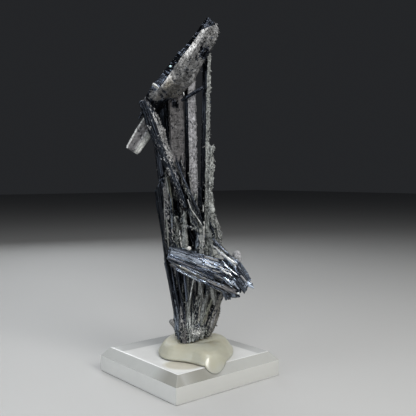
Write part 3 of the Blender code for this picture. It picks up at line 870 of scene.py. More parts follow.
posts = prisms(postRows, 70, cell=(0.25, 0.5))
frontRows = fanOfNeedles(rootLook, rootLook["frontCount"], rootLook["frontY"], 3)
frontNeedles = prisms(frontRows, 100, cell=(0.25, 0.6), ragged=3.0)
needles = prisms(needleRows, 80, (1, 0.45, 0.5, 0.8, 0.6), cell=(0.22, 0.5), ragged=1.2)
slivers = prisms(sliverRows + looseSlivers(looseLook, 13), 300, cell=(0.22, 0.5), ragged=1.2)
slivers = [patched(shape, crustAndShadePatches) for shape in slivers]
toes = prisms(toeRows, 420, (1, 1, 0.9, 0.5, 0.4), cell=(0.25, 0.4), depths=(0.0, 0.5), ragged=1.5)
hook = []
for number, (x, z) in enumerate(hookLook["path"]):
    thick = np.interp(number, (0, len(hookLook["path"]) - 1), hookLook["thick"])
    hook.append(lumpyBall((x, hookLook["y"], z), (thick,) * 3, palette["grey"], 12, 16, 3 + number, 0.12))
backRows = fanOfNeedles(rootLook, rootLook["backCount"], rootLook["backY"], 4)
backNeedles = prisms(backRows, 140, cell=(0.35, 1.0), ragged=3.0)
rootShapes = [root, *hook, *toes, *posts, *needles, *frontNeedles, *backNeedles]
buildPiece("rootCrystals", rootShapes, "upright_spray")
buildPiece("lodgedSlivers", slivers, "upright_spray")


# ---- bridge needle between the tall crystals

bridgeRows = [
    ((-2.6, -4.4, 107.3), (5.9, -4, 112.5), 1.5, 1.2, 0.3, bare, "steel", 0.6, 0.3, 0, 1.1, 0.5),
    # the second row is a tiny pale sliver standing in for a glint: a painted highlight
    ((-1.5, -4.4, 109.2), (-1.7, -4.4, 111), 0.4, 0.5, 0, crusted, "bright", 1, 0.2, 0, 0.9, 0.5),
]
buildPiece("bridgeNeedle", prisms(bridgeRows, 61, cell=(0.2, 0.4), ragged=0.4), "upright_spray")


# ---- leaning crystal

diagonalLook = {
    "ends": ((-1.4, -6.5, 66.4), (-16.5, -8.9, 107.6)),
    "outline": [
        (0.00, 0.9, 2.0, 1.6, 1.6),
        (0.19, 1.1, 2.4, 1.8, 1.8),
        (0.42, 1.9, 2.4, 2.2, 1.9),
        (0.46, 2.0, 2.6, 2.3, 2.0),
        (0.67, 2.8, 2.9, 2.4, 2.2),
        (0.76, 2.8, 3.0, 2.4, 2.2),
        (0.88, 2.6, 2.4, 2.3, 2.1),
        (1.00, 2.4, 1.2, 2.0, 1.9),
    ],
    "ridge": 0.45,
    "cut": 0.2,
    "coats": (0.12, 0.0, 0.66, 0.7, 0.6, 0.3),
}
edgeRows = [
    ((5.9, -7.1, 59.3), (-4.6, -7.2, 84), 2, 2.4, 0, (0.3, 0.35, 0, 0, 0.3, 0.4), "green", 1, 0.45,
     0, 0.8, 0.5),
]
diagonal = striated(
    *diagonalLook["ends"], diagonalLook["outline"], diagonalLook["ridge"], diagonalLook["cut"],
    diagonalLook["coats"], palette["grey"], 41, cell=(0.22, 0.5), ragged=1.2
)
bareFoot = (1 - ease(0.14, 0.26, diagonal["share"])) + 0.5 * (diagonal["share"] < 0.44)
bareTop = ease(0.78, 0.95, diagonal["share"])
diagonal["coat"] = diagonal["coat"] * (1 - 0.75 * bareFoot.clip(0, 1) - 0.35 * bareTop)
speckles = 0.3 * (1 - ease(0.62, 0.8, diagonal["share"])) * np.isin(diagonal["facets"], (0, 1))
diagonal["coat"] = np.maximum(diagonal["coat"], speckles)
diagonal["tint"][..., :3] *= (1 - 0.3 * bareTop)[..., None]
diagonal = mottled(diagonal, 31, (0.7, 1.9), 0.8)
edgeBlade = prisms(edgeRows, 42, cell=(0.22, 0.6), ragged=0.6)
buildPiece("diagonalCrystal", [diagonal, *edgeBlade], "diagonal_crystal")


# ---- broad blade at the top

bladeLook = {
    "ends": ((-20.9, -4.1, 89.0), (9.6, -4.1, 137.4)),
    "outline": [
        (0.13, 1.2, 1.2, 1.0, 1.0),
        (0.20, 2.6, 1.2, 1.4, 1.4),
        (0.27, 4.8, 0.8, 1.6, 1.8),
        (0.34, 6.9, 0.9, 2.2, 2.0),
        (0.40, 7.1, 1.6, 2.2, 2.0),
        (0.45, 6.9, 3.8, 2.2, 2.0),
        (0.48, 6.5, 4.6, 2.2, 2.0),
        (0.59, 5.9, 5.8, 2.2, 2.0),
        (0.69, 5.3, 5.4, 2.2, 2.0),
        (0.76, 4.2, 5.2, 2.2, 2.0),
        (0.86, 3.5, 4.9, 2.1, 2.0),
        (0.95, 3.2, 4.4, 2.0, 1.9),
        (0.985, 3.1, 3.3, 1.8, 1.8),
        (1.00, 2.9, 1.9, 1.6, 1.6),
    ],
    "ridge": -0.5,
    "cut": -0.12,
    "coats": (0.02, 0.02, 0.9, 0.8, 0.5, 0.3),
    "ribs": 110,              # cross lines on the dark edge, over the whole length
    "paleBand": 2.5,
    "darkening": 0.5,
    "brown": (0.36, 0.33, 0.27),
    # places along the blade, as shares of its length, and across it from -1 to 1
    "paleFrom": (0.66, 0.75),
    "paleBelow": (0.44, 0.48, 0.53, 0.58),
    "paleAcross": (-0.56, -0.48, -0.2, 0.05),
    "cleanTip": (0.86, 0.93),
    "brownBelow": (0.48, 0.58),
    "shadowBelow": (0.35, 0.4),
    "darkTip": ((0.9, 0.93, 0.97, 1.0), (-0.5, -0.25, 0.25, 0.75)),     # its edge across, for places along
}
# ovals on the blade, with the same columns as those on the spray's front; the darker ones are partly
# painted shade, as in the recess at (6.6, 125.6)
bladeCrustAndShade = [
    (-12.8, 109.4, 2.0, 2.2, 0.8, 2.0),
    (6.6, 125.6, 2.3, 2.7, -0.75, 0.45),
    (-3.8, 117.6, 1.4, 1.4, -0.25, 0.6),
    (-9.6, 109.0, 2.2, 2.6, -0.3, 0.5),
    (-5.4, 106.4, 1.6, 1.4, -0.5, 0.5),
    (0.0, 118.4, 1.2, 1.0, -0.3, 0.6),
    (8.8, 130.0, 1.2, 1.6, -0.2, 0.7),
    (3.4, 124.0, 1.1, 1.0, -0.3, 0.7),
]
endLook = {              # the shiny lower end of the blade, in four zones from left to right
    "ends": ((-21.6, -4.3, 88.0), (-14.4, -4.3, 99.4)),
    "outline": [
        (0.0, 2.6, 2.4, 1.6, 1.5), (0.1, 2.9, 2.9, 1.9, 1.7), (0.6, 3.2, 3.3, 2.0, 1.8),
        (1.0, 3.0, 3.0, 2.0, 1.8),
    ],
    "coats": (0.1, 0.1, 0.2, 0.2, 0.3, 0.3),
    "borders": (-0.8, 0.16, 0.46),
    "zoneTints": ("bright", "pink", "grey", "pale"),
    "zoneCoats": (0.95, 0.75, 0.75, 0.95),
    "zoneShades": (1.1, 0.8, 0.9, 1.3),
}
mergeRows = [
    ((-0.1, -3.8, 113.8), (3.8, -3.8, 122.4), 3.6, 2.2, 0.2, crusted, "grey", 1, 1.3, -0.4, 1, 0.5),
]
chipRows = [            # a pale chip and a dark one at the blade's left edge
    ((-13.4, -5.4, 113.6), (-10.9, -5.9, 111.6), 1.3, 1.4, -0.3, crusted, "pale", 1, 0.4, 0, 0.7),
    ((-18.9, -4, 100.2), (-16.4, -4, 104.6), 1.3, 1.4, 0.1, bare, "olive", 1, 0.6, 0.3, 0.7),
]


def between(value, low, high, end, out):
    # 1 from high to end, easing off to 0 at low and at out
    return ease(low, high, value) * (1 - ease(end, out, value))


def paintedBlade(look):
    # Tint times 0.9 plus the pale band's share less the darkening's (the right half short of the tip,
    # and the lower end), then towards brown at the lower end, and all of it nearly black in the painted
    # shadow under that end. The left facets are ribbed by cross lines, and bare again at the tip.
    shape = striated(
        *look["ends"], look["outline"], look["ridge"], look["cut"], look["coats"], palette["grey"], 51,
        cell=(0.22, 0.3), ragged=0.15, depths=(0.0, 0.12), stepIn=0.06, lump=0.6, crossRidges=0.28
    )
    across, along = shape["px"], shape["share"]
    bandPlace = ease(*look["paleFrom"], along) + 0.6 * between(along, *look["paleBelow"])
    paleBand = between(across, *look["paleAcross"]) * bandPlace
    paleBand = np.maximum(paleBand, ease(0.0, 0.5, across) * ease(*look["cleanTip"], along) * 0.3)
    shape = mottled(shape, 21, (0.5, 1.3), 0.6)
    # darker on the right half, short of the tip, and at the lower end
    darkening = ease(-0.4, 0.4, across) * (1 - ease(0.84, 0.93, along)) + (1 - ease(0.36, 0.62, along))
    light = 0.9 + look["paleBand"] * paleBand - look["darkening"] * np.clip(darkening, 0, 1)
    shape["tint"][..., :3] *= light[..., None]
    brown = (1 - ease(*look["brownBelow"], along)) * ease(-0.5, -0.3, across)
    shape["tint"][..., :3] *= 1 + brown[..., None] * (np.array(look["brown"]) - 1)
    under = (1 - ease(*look["shadowBelow"], along - 0.04 * across)) * ease(-0.66, -0.56, across)
    shape["tint"][..., :3] *= (1 - 0.9 * under)[..., None]
    shape["shade"] = shape["shade"] * (1 - 0.9 * under)
    shape["coat"] = shape["coat"] * (1 - 0.8 * under)
    ribs = softNoise(along * look["ribs"], across * 1.5, 7)
    steps = softNoise(along * look["ribs"] / 6, 0, 9)
    ribbed = np.isin(shape["facets"], (0, 1))
    # painted highlights: bright cross lines along the ribs of the bare left facets, far brighter than the
    # metal
    lines = 0.15 + (4.5 * ease(0.6, 0.85, ribs) + 1.6 * ease(0.6, 0.8, steps)) * ease(0.36, 0.46, along)
    shape["shade"] = np.where(ribbed, lines, shape["shade"])
    edge = np.interp(along, *look["darkTip"])
    darkTip = ease(0.9, 0.92, along) * (1 - ease(-0.1, 0.1, across - edge))
    shape["coat"] = shape["coat"] * (1 - darkTip)
    shape["shade"] = shape["shade"] * (1 - 0.5 * darkTip)
    return patched(shape, bladeCrustAndShade)


def paintedEnd(look):
    # four zones over the width, each with its own colour, crust and brightness
    shape = striated(*look["ends"], look["outline"], 0.46, -0.35, look["coats"], (1.0, 1.0, 1.0), 54,
                     cell=(0.2, 0.4), ragged=0.5, depths=(0.0, 0.14), stepIn=0.05, lump=0.3)
    zone = np.searchsorted(look["borders"], shape["px"])
    shape["tint"][..., :3] *= np.array([palette[name] for name in look["zoneTints"]])[zone]
    shape["coat"] = np.array(look["zoneCoats"])[zone]
    shape["shade"] = shape["shade"] * np.array(look["zoneShades"])[zone]
    return shape


blade = paintedBlade(bladeLook)
bladeEnd = paintedEnd(endLook)
merging = prisms(mergeRows, 52, cell=(0.22, 0.4), ragged=1.5)
chips = prisms(chipRows, 53, cell=(0.2, 0.3), ragged=0.3)
# a small cyan-white grain on the blade, standing in for a glint: a painted highlight
paintedGlintGrain = lumpyBall((-6.6, -5.3, 120.2), (0.5, 0.5, 0.45), (0.7, 0.95, 1.0), 10, 14, 5, 0.1)
buildPiece("topBlade", [blade, bladeEnd, *merging, *chips, paintedGlintGrain], "top_blade")


# ---- bundle of bright blades across the front

streaky, frosted = (0.12,) * 6, (0.5,) * 6
# rows with the bright tint or a bare-metal brightness near 3 are real blades whose pale streaks are painted
# highlights
crossRows = [
    ((-6, -10, 48), (17, -10.2, 39.6), 5.6, 6.4, 0, bare, "grey", 0.9, 0.4, 0.2, 1.4, 0.5),
    ((-7.2, -9.4, 50.4), (15.5, -9.8, 44.4), 3.6, 5.6, 0.2, bare, "grey", 0.9, 0.4, 0.3, 1.15, 0.5),
    ((-7.6, -10.2, 48.3), (19, -10.8, 39.8), 4, 6.2, -0.2, bare, "grey", 0.9, 0.4, -0.4, 1.3, 0.6),
    ((-6.4, -9.8, 45.8), (18.6, -10.2, 35.4), 3.2, 5.8, 0.5, frosted, "pink", 1, 0.7, 0.5, 1.5, 0.55),
    ((1.6, -9.2, 42), (17, -9.6, 34), 2.6, 5.2, 0, bare, "grey", 0.9, 0.4, 0.4, 1.4, 0.7),
    ((-7, -12, 51.4), (5.2, -12.4, 48), 1.9, 1.8, 0.2, streaky, "blue", 0.7, 0.3, 0.5),
    ((-6.4, -12.6, 50), (5.9, -12.9, 45.4), 2.3, 1.6, 0.1, frosted, "steel", 1, 0.2, 0.6),
    ((-7.3, -12.5, 48.2), (4.8, -12.6, 43.3), 1.7, 1.6, 0.3, streaky, "pink", 0.9),
    ((-7, -12.3, 46.9), (3.6, -12.5, 42.2), 1.1, 1.6, 0, streaky, "steel", 1.2),
    ((-0.9, -12.3, 43.5), (3.6, -12.3, 41.2), 0.8, 1.4, 0, bare, "grey", 3.2),
    ((4.3, -12.6, 47.4), (17.2, -13.2, 41.7), 1.7, 1.8, 0.1, bare, "grey", 2, 0.3, 0.7),
    ((4.9, -12.4, 45.2), (16.4, -12.9, 40.3), 1.3, 1.6, 0.3, bare, "grey", 0.9),
    ((7, -12.9, 44.1), (15.2, -13.1, 40.4), 0.5, 1.2, 0, bare, "grey", 3),
    ((9, -12.9, 42.9), (14.6, -13, 39), 1, 1.4, 0.1, bare, "grey", 3.4),
    ((2.2, -12, 42.2), (14.6, -12.3, 36.1), 1.8, 1.8, 0.2, bare, "grey", 0.7, 0.3, 0.6),
    ((3.6, -12, 40.4), (13.6, -12.2, 35.2), 0.7, 1.4, 0.2, dusty, "warm", 1.6, 0.3, 0.6),
    ((0.2, -12.7, 42.6), (4.6, -12.8, 41), 0.7, 1.3, 0, streaky, "bright", 2.6, 0.2),
    ((5.7, -12.9, 43.5), (12.5, -13, 40.2), 0.6, 1.3, 0.1, streaky, "bright", 2.6, 0.2),
    ((5.9, -12.9, 42.7), (13.9, -13, 39), 0.5, 1.3, -0.4, streaky, "warm", 2, 0.2),
    ((5.4, -12.9, 46.9), (12.6, -13.2, 43.6), 1, 1.3, 0.1, streaky, "steel", 2.6),
    ((6.4, -13, 45.6), (14.4, -13.2, 42.2), 0.7, 1.3, -0.3, streaky, "bright", 2.8),
    ((12.2, -13, 44.2), (16.8, -13.3, 40.8), 1.4, 1.3, 0.1, frosted, "bright", 2.6, 0.2),
    ((13.2, -13, 41.8), (17.2, -13.2, 37.8), 0.9, 1.3, 0.3, streaky, "bright", 3, 0.2),
    ((15.4, -12.6, 44.4), (19.2, -12.8, 40.6), 0.8, 1.3, -0.2, streaky, "bright", 2.6, 0.2),
    ((14.6, -12.8, 39.6), (17.4, -12.9, 35.8), 0.8, 1.3, 0.1, streaky, "steel", 3, 0.2),
    ((-3, -12.4, 44), (4.6, -12.4, 39.8), 0.8, 1.3, 0.1, streaky, "warm"),
]
# here too the rows with the bright tint or a bare-metal brightness of 2.4 and more are real pieces with
# painted highlights
endRows = [
    ((14.8, -8.8, 48), (22.8, -8.9, 37.3), 4.4, 4.6, 0.3, dusty, "pink", 0.6, 0.4, 0.3, 1.2, 0.7),
    ((13.2, -9, 46.4), (20, -9.2, 34.1), 4.6, 4.8, -0.1, bare, "pink", 0.8, 0.5, 0.2, 1.2, 0.7),
    ((12.4, -9.2, 42.4), (17, -9.4, 31.7), 4.4, 4.6, 0.2, dusty, "pink", 0.8, 0.4, -0.2, 1.3, 0.7),
    ((20.6, -9.2, 38.6), (25, -9.2, 36.6), 1.9, 2.4, 0.2, bare, "grey", 2.4, 0.3, 0.5),
    ((9.8, -10.8, 52), (18.6, -12.4, 44.9), 0.7, 1.6, -0.3, frosted, "bright", 3, 0.6, 0.3, 2.3),
    ((9.4, -9.2, 54.6), (16.6, -9.9, 47.4), 1.5, 2.2, 0, bare, "grey", 0.9),
    ((13, -11.6, 46.6), (18, -12.2, 41.4), 0.7, 1.2, 0.2, bare, "grey", 3),
    ((14.4, -11.4, 46.8), (18.8, -11.9, 42), 0.6, 1.2, 0.2, bare, "grey", 2.4),
    ((12.6, -12, 45.6), (17.4, -12.6, 40.2), 0.6, 1.2, 0.2, bare, "grey", 0.6),
    ((16, -11.2, 40.4), (18.2, -11.2, 33.4), 1.3, 1.6, 0.2, bare, "grey", 1.2),
    ((19.4, -10.8, 37.6), (22.4, -10.8, 35), 1.4, 1.6, 0.2, bare, "grey", 1.4),
    ((14, -11.2, 38.6), (16.2, -11.4, 33), 1.2, 1.6, 0.2, bare, "grey", 1.8),
    ((18.2, -11, 41.8), (21.6, -11, 38.6), 1.1, 1.4, 0.2, dusty, "grey", 1.6),
    ((13.8, -13.1, 45.2), (18.8, -13.4, 41.2), 0.7, 1.2, 0.2, streaky, "bright", 3, 0.4, 0.3, 1.2),
    ((14.6, -13.1, 43.6), (17.8, -13.3, 39.6), 0.9, 1.2, -0.3, frosted, "bright", 2.6, 0.4, 0.3, 0.9),
    ((15.6, -13, 41.6), (18.6, -13.2, 37.2), 0.6, 1.2, 0.2, streaky, "pale", 2.6, 0.4),
    ((11.2, -10.9, 50), (18.2, -12.6, 44), 0.5, 1.2, 0.2, streaky, "bright", 3, 0.4, 0.3, 1.6),
    ((12.8, -13.4, 41.6), (17.6, -13.7, 37.6), 1.2, 1.2, 0.2, frosted, "bright", 4, 0.5),
    ((12.6, -13.6, 43.6), (16.6, -13.8, 40.6), 0.8, 1.2, -0.3, frosted, "bright", 4, 0.5),
    ((13.6, -13.4, 40), (16.8, -13.6, 36.6), 0.6, 1.2, 0.1, streaky, "warm", 3, 0.4),
    ((15.2, -13.4, 42.6), (18.8, -13.7, 38.8), 0.8, 1.2, -0.2, frosted, "bright", 2.6, 0.5),
    ((16.8, -13.3, 39.6), (19.6, -13.5, 35.7), 0.8, 1.2, 0.2, dusty, "steel", 2.6, 0.5, 0.3, 0.9),
    ((20, -12, 41), (22.4, -12.2, 38.2), 0.9, 1.2, 0.2, dusty, "grey", 1.8, 0.5, 0.3, 0.9),
]
massRows = [            # broad broken pieces at the right end
    ((17.2, -10.2, 46.2), (23.2, -10.4, 37.4), 4.4, 3, 0.3, streaky, "grey", 1.7, 0.6, 0.3, 1, 0.7),
    ((14.2, -10.6, 43.8), (18, -11, 32.4), 4.6, 3.2, -0.2, bare, "grey", 0.9, 0.4, -0.3, 1.05, 0.7),
    ((16.6, -11.2, 42.6), (22.4, -11.4, 35.4), 3.4, 2.6, 0.2, streaky, "blue", 1.6, 0.4, 0.4, 1.1),
    ((21.8, -10.6, 38), (25.3, -10.6, 36.4), 1.9, 2, 0.1, frosted, "steel", 2, 0.3, 0.5, 0.9),
    ((12.8, -11.4, 40), (15.6, -11.6, 32.2), 3.2, 2.2, 0.3, bare, "pink", 0.8, 0.4, 0.4),
]
bundleLook = {
    "fibres": 38,
    "leftEnds": ((-7.2, -12.4, 50.2), (-6.4, -12.6, 44.9)),      # of the top and the lowest fibre
    "rightEnds": ((17.5, -12.8, 43.6), (15.6, -12.2, 33.8)),
    "width": (0.3, 0.8),
}


def fibresAcross(look, seed):
    # thin crystals side by side over the front of the bundle, each a part of its length
    rng = np.random.default_rng(seed)
    rows = []
    for share in (np.arange(look["fibres"]) + rng.uniform(0, 1, look["fibres"])) / look["fibres"]:
        left = np.array(look["leftEnds"][0]) * (1 - share) + np.array(look["leftEnds"][1]) * share
        right = np.array(look["rightEnds"][0]) * (1 - share) + np.array(look["rightEnds"][1]) * share
        start = rng.uniform(0, 0.5) ** 1.5
        end = rng.uniform(max(0.45, start + 0.3), 1.02)
        width = rng.uniform(*look["width"])
        rise = rng.normal(0, 0.25, 3) * (1, 1, 1.5)
        foot = left + (right - left) * start + rise
        tip = left + (right - left) * end + rise + (0, 0, rng.normal(-0.3, 0.5))
        coats = (0.05,) * 6 if share < 0.6 else rng.uniform(0, 0.5, 6)
        ridge, cut, ledge = rng.uniform(-0.5, 0.5), rng.uniform(-1, 1), rng.uniform(0.5, 0.9)
        gloss = rng.uniform(0.3, 3.0)
        rows.append((foot, tip, width, width * 1.3, ridge, coats, "warm", gloss, 0.3, cut, 0.9, ledge))
    return rows


bundleOptions = {
    "cell": (0.18, 0.5), "depths": (0.0, 0.4), "widths": (0.3, 1.0), "ragged": 2.5, "stepIn": 0.25,
    "paleBands": 0.3, "shades": (0.15, 2.0)
}
massOptions = bundleOptions | {"widths": (1.3, 2.8), "ragged": 1.6, "paleBands": 0.1, "cell": (0.25, 0.5)}
crossBlades = prisms(crossRows, 200, (1, 0.3, 0.4, 1, 0.8), **bundleOptions)
crossBlades += prisms(endRows, 230, (1, 0.3, 0.3, 1, 0.6), **bundleOptions)
crossBlades += prisms(massRows, 260, (1, 0.3, 0.3, 1, 0.6), **massOptions)
# a pale lumpy ball near the right end, standing in for a glint: a painted highlight
crossBlades.append(lumpyBall((19.2, -12.4, 34.3), (0.8, 0.45, 0.6), (0.85, 0.88, 0.9), 14, 18, 5, 0.7))
fibres = prisms(fibresAcross(bundleLook, 6), 270, cell=(0.2, 0.6), ragged=1.5, paleBands=0.25)
buildPiece("crossBlades", crossBlades + fibres, "cross_bundle", finish=litStibnite)

ballLook = {"centre": (0.5, -10.2, 51.0), "radius": 0.88, "tint": (0.72, 0.71, 0.68)}
whiteBall = lumpyBall(ballLook["centre"], (ballLook["radius"],) * 3, ballLook["tint"], 16, 24, 6, 0.08)
buildPiece("whiteBall", [whiteBall], "cross_bundle", "pale_crystal")


# ---- glue and block

blockLook = {
    "wall": 6.1,              # height of the upright part of the sides
    "inset": 3.0,             # how far the bevel runs in over the top
    "edgeRadius": 0.18,
    "cornerRadius": 0.35,
    "perSide": 10,
    "perCorner": 5,
}


def milkyFinish(name, roughness, transmission, colour, *zones):
    # cloudy plastic; each zone is a function that says where it lies, and its colour
    finish = Finish(name, IOR=1.49, Transmission_Weight=transmission)
    spot = finish.place()
    cloud = finish.noise(spot, 0.18, 3, 0.6)
    grit = finish.noise(spot, 3.0, 2, 0.6)
    made = finish.mixed(cloud, (*colour, 1), (*[c * 0.88 for c in colour], 1))
    for place, second in zones:
        made = finish.mixed(place(finish, spot), made, (*second, 1))
    finish.feed(finish.shader, {
        "Base Color": made,
        "Roughness": (roughness + (grit - 0.5) * roughness * 0.5).clamped(),
        "Normal": finish.bump(grit, 0.02 * mm, 0.4),
    })
    return finish.material


def parted(finish, place):
    # the x, y and z of a place
    parts = finish.node("ShaderNodeSeparateXYZ", {}, {0: place}).outputs
    return [Wire(finish, part) for part in parts]


def hump(value, middle, reach):
    # 1 at the middle, falling to 0 on both sides
    away = (value - middle) * (1 / reach)
    return (1 - away * away).clamped()


def bevelPaintedShade(finish, place):
    # painted shade close to the front corner on one bevel, and a painted reflection of the glue on the
    # other
    x, y = parted(finish, place)[:2]
    left = (x * 0.12 - 1.2).clamped() * (y * -0.25 - 4.6).clamped()
    right = (hump(y, -13.0, 9.0) * 0.6 + 0.3) * (x * 0.25 - 4.6).clamped()
    return (left * 0.75).maths("MAXIMUM", left * 0.75, right)


def topPaintedShade(finish, place):
    # painted shade: a greyer border along the two far sides, standing in for the refraction through the
    # block
    x, y = parted(finish, place)[:2]
    left, right = (x * -2.0 - 27.4).clamped(), (y * 2.0 - 33.4).clamped()
    return left.maths("MAXIMUM", left, right) * 0.9


def paintedGlueReflection(finish, place):
    # a painted reflection of the glue: an oval in front of it, where it shows again inside the block
    x, y = parted(finish, place)[:2]
    across = (x * turnCos + y * turnSin + 1.4) * (1 / 8.0)
    forward = (x * turnSin - y * turnCos - 20.6) * (1 / 6.2)
    return ((1 - across * across - forward * forward) * 2.2).clamped() * 0.8


def wallPaintedShade(finish, place):
    # painted shade: a little darker on the right side
    x = parted(finish, place)[0]
    return (x * 4 - 100).clamped()


acrylicTop = milkyFinish("acrylicPolished", 0.05, 0.2, (0.84, 0.845, 0.835),
                         (topPaintedShade, (0.54, 0.55, 0.545)), (paintedGlueReflection, (0.50, 0.46, 0.37)))
# the bevel's own colour, darker than the top's, is painted shade too
acrylicBevel = milkyFinish("acrylicBevel", 0.2, 0.2, (0.57, 0.58, 0.565), (bevelPaintedShade, (0.27, 0.265, 0.23)))
acrylicWall = milkyFinish("acrylicSatin", 0.5, 0.15, (0.90, 0.905, 0.88), (wallPaintedShade, (0.62, 0.625, 0.60)))
acrylicUnder = milkyFinish("acrylicFrosted", 0.6, 0.3, (0.9, 0.9, 0.9))
acrylicEdge = milkyFinish("acrylicEdge", 0.3, 0.1, (0.68, 0.685, 0.675))


def roundedProfile(corners, radius, steps=4):
    # straight runs between corners, each corner replaced by a small arc of points
    points = [corners[0]]
    for before, corner, after in zip(corners, corners[1:], corners[2:]):
        back, on = unit(before - corner), unit(after - corner)
        for share in np.linspace(0, 1, steps + 1):
            points.append(corner + radius * (back * (1 - share) ** 2 + on * share ** 2))
    points.append(corners[-1])
    return np.array(points)


def roundedSquare(half, radius, perSide, perCorner):
    # along each side of the square, then round an arc at its corner
    radius = min(radius, half / 2)
    side = np.linspace(-1, 1, perSide, endpoint=False) * (half - radius)
    arc = np.linspace(0, math.pi / 2, perCorner, endpoint=False)
    x = np.concatenate([np.full(perSide, half), half - radius + radius * np.cos(arc)])
    y = np.concatenate([side, half - radius + radius * np.sin(arc)])
    return np.concatenate([np.stack(pair, -1) for pair in ((x, y), (-y, x), (-x, -y), (y, -x))])


def ringMesh(name, x, y, z, finishes, slots=None):
    # mesh of closed rings in millimetres, with a point at the middle of the first and the last
    points = np.stack([x, y, z], -1)
    quads, tris = gridFaces(*x.shape)
    flatPoints = np.concatenate([points.reshape(-1, 3), points[[0, -1]].mean(1)]) * mm
    return meshObject(name, flatPoints, quads, tris, finishes, slots)


def acrylicBlock(look):
    # the side's profile (inset, height) carried round the square plan, corners rounded
    half, top, wall, inset = blockHalf, blockTop, look["wall"], look["inset"]
    corners = np.array([(half * 0.5, 0), (0, 0), (0, wall), (inset, top), (half * 0.5, top)], float)
    low = np.array([(half * 0.999, 0), (half * 0.5, 0), (0.6, 0)])
    side = roundedProfile(corners, look["edgeRadius"])[1:-1]
    high = np.array([(inset + 0.8, top), (half * 0.5, top), (half * 0.999, top)])
    profile = np.concatenate([low, side, high])
    plan = [roundedSquare(half - drawn, look["cornerRadius"], look["perSide"], look["perCorner"])
            for drawn in profile[:, 0]]
    x, y = np.array(plan).transpose(2, 0, 1)
    z = np.broadcast_to(profile[:, 1][:, None], x.shape)
    level = (profile[:-1, 1] + profile[1:, 1]) / 2
    kind = np.select([level < 0.15, level < wall, level < top - 0.05], [3, 2, 1], 0)
    run = np.hypot(*(profile[1:] - profile[:-1]).T)
    kind = np.where((run < look["edgeRadius"]) & (level > wall + 1), 4, kind)
    slots = np.concatenate([np.repeat(kind, x.shape[1]), np.full(x.shape[1], 3), np.full(x.shape[1], 0)])
    finishes = [acrylicTop, acrylicBevel, acrylicWall, acrylicUnder, acrylicEdge]
    return ringMesh("acrylicBlock", x, y, z, finishes, slots)


block = acrylicBlock(blockLook)
settle(block, "acrylic", "acrylic_base")

glueLook = {
    "centre": (2.6, -3.5),
    "plan": [(-11.8, -9.4), (-8.4, -16.4), (-3.0, -17.4), (2.6, -20.2), (6.4, -24.8), (10.0, -24.5),
             (13.0, -21.6), (14.8, -17.0), (17.2, -10.6), (18.0, -2.8), (16.2, 6.0), (9.4, 11.4),
             (0.4, 12.4), (-7.8, 9.2), (-11.8, 0.8)],
    # share of the plan where there is a lip, share where there is none, and height
    "profile": [
        (0.0, 0.0, 0.05), (0.88, 0.9, 0.05), (0.965, 0.97, 0.2), (0.995, 0.995, 0.5), (1.0, 1.0, 0.95),
        (0.99, 0.99, 1.35), (0.972, 0.975, 1.7), (0.952, 0.955, 2.1), (0.93, 0.935, 2.6),
        (0.902, 0.907, 3.2), (0.86, 0.865, 4.0), (0.79, 0.79, 4.8), (0.68, 0.68, 5.3), (0.5, 0.5, 5.6),
        (0.0, 0.0, 5.7),
    ],
    "lipSide": (-0.45, -0.9),         # the way the lip faces
    "perSpan": 12,
    "dimple": (0.2, -7.4, 2.4),       # where the foot sits lower (across, forward), and how deep
}


def blockTopAt(x, y):
    # height of the block's upper surface over a place in the frame, in millimetres
    over = np.maximum(np.abs(x), np.abs(y)) - (blockHalf - blockLook["inset"])
    slope = (blockTop - blockLook["wall"]) / blockLook["inset"]
    return blockTop - np.maximum(over, 0) * slope


def closedCurve(points, perSpan):
    # uniform cubic B-spline: each place on it is a weighted mean of four neighbouring points
    t = np.arange(perSpan)[None, :, None] / perSpan
    weights = [(1 - t) ** 3, 3 * t ** 3 - 6 * t ** 2 + 4, -3 * t ** 3 + 3 * t ** 2 + 3 * t + 1, t ** 3]
    rolled = [np.roll(points, 1 - step, 0)[:, None] for step in range(4)]
    return (sum(w * p for w, p in zip(weights, rolled)) / 6).reshape(-1, 2)


def glueBlob(look):
    # Rings of the plan, drawn in by the profile's share and raised by its height over the
    # block's top. The height gives way where the block falls off, and at the foot's dimple.
    centre = np.array(look["centre"])
    plan = closedCurve(np.array(look["plan"]) - centre, look["perSpan"])
    keys = np.array(look["profile"])
    knots = np.linspace(0, 1, len(keys))
    fine = np.linspace(0, 1, 4 * len(keys))
    lipped, plain, rise = (np.interp(fine, knots, column)[1:-1, None] for column in keys.T)
    lip = ease(-0.1, 0.6, unit(plan) @ np.array(look["lipSide"]))
    draw = lipped * lip + plain * (1 - lip)
    place = centre + plan[None] * draw[..., None]
    x = place[..., 0] * turnCos - place[..., 1] * turnSin
    y = place[..., 0] * turnSin + place[..., 1] * turnCos
    carried = blockTopAt(x, y)
    ripple = (softNoise(x / 5, y / 5, 3) - 0.5) * 0.5 * ease(0.8, 4.0, rise)
    dipX, dipY, dip = look["dimple"]
    hollow = dip * np.exp(-((place[..., 0] - dipX) / 6) ** 2 - ((place[..., 1] - dipY) / 2.6) ** 2)
    z = carried + rise * (1 - 0.35 * ease(0.5, 3.0, blockTop - carried)) + ripple
    z = z - hollow * ease(2.0, 5.0, rise)
    made = ringMesh("glueBlob", x, y, z, [glueFinish()])
    made.data.shade_smooth()
    return made


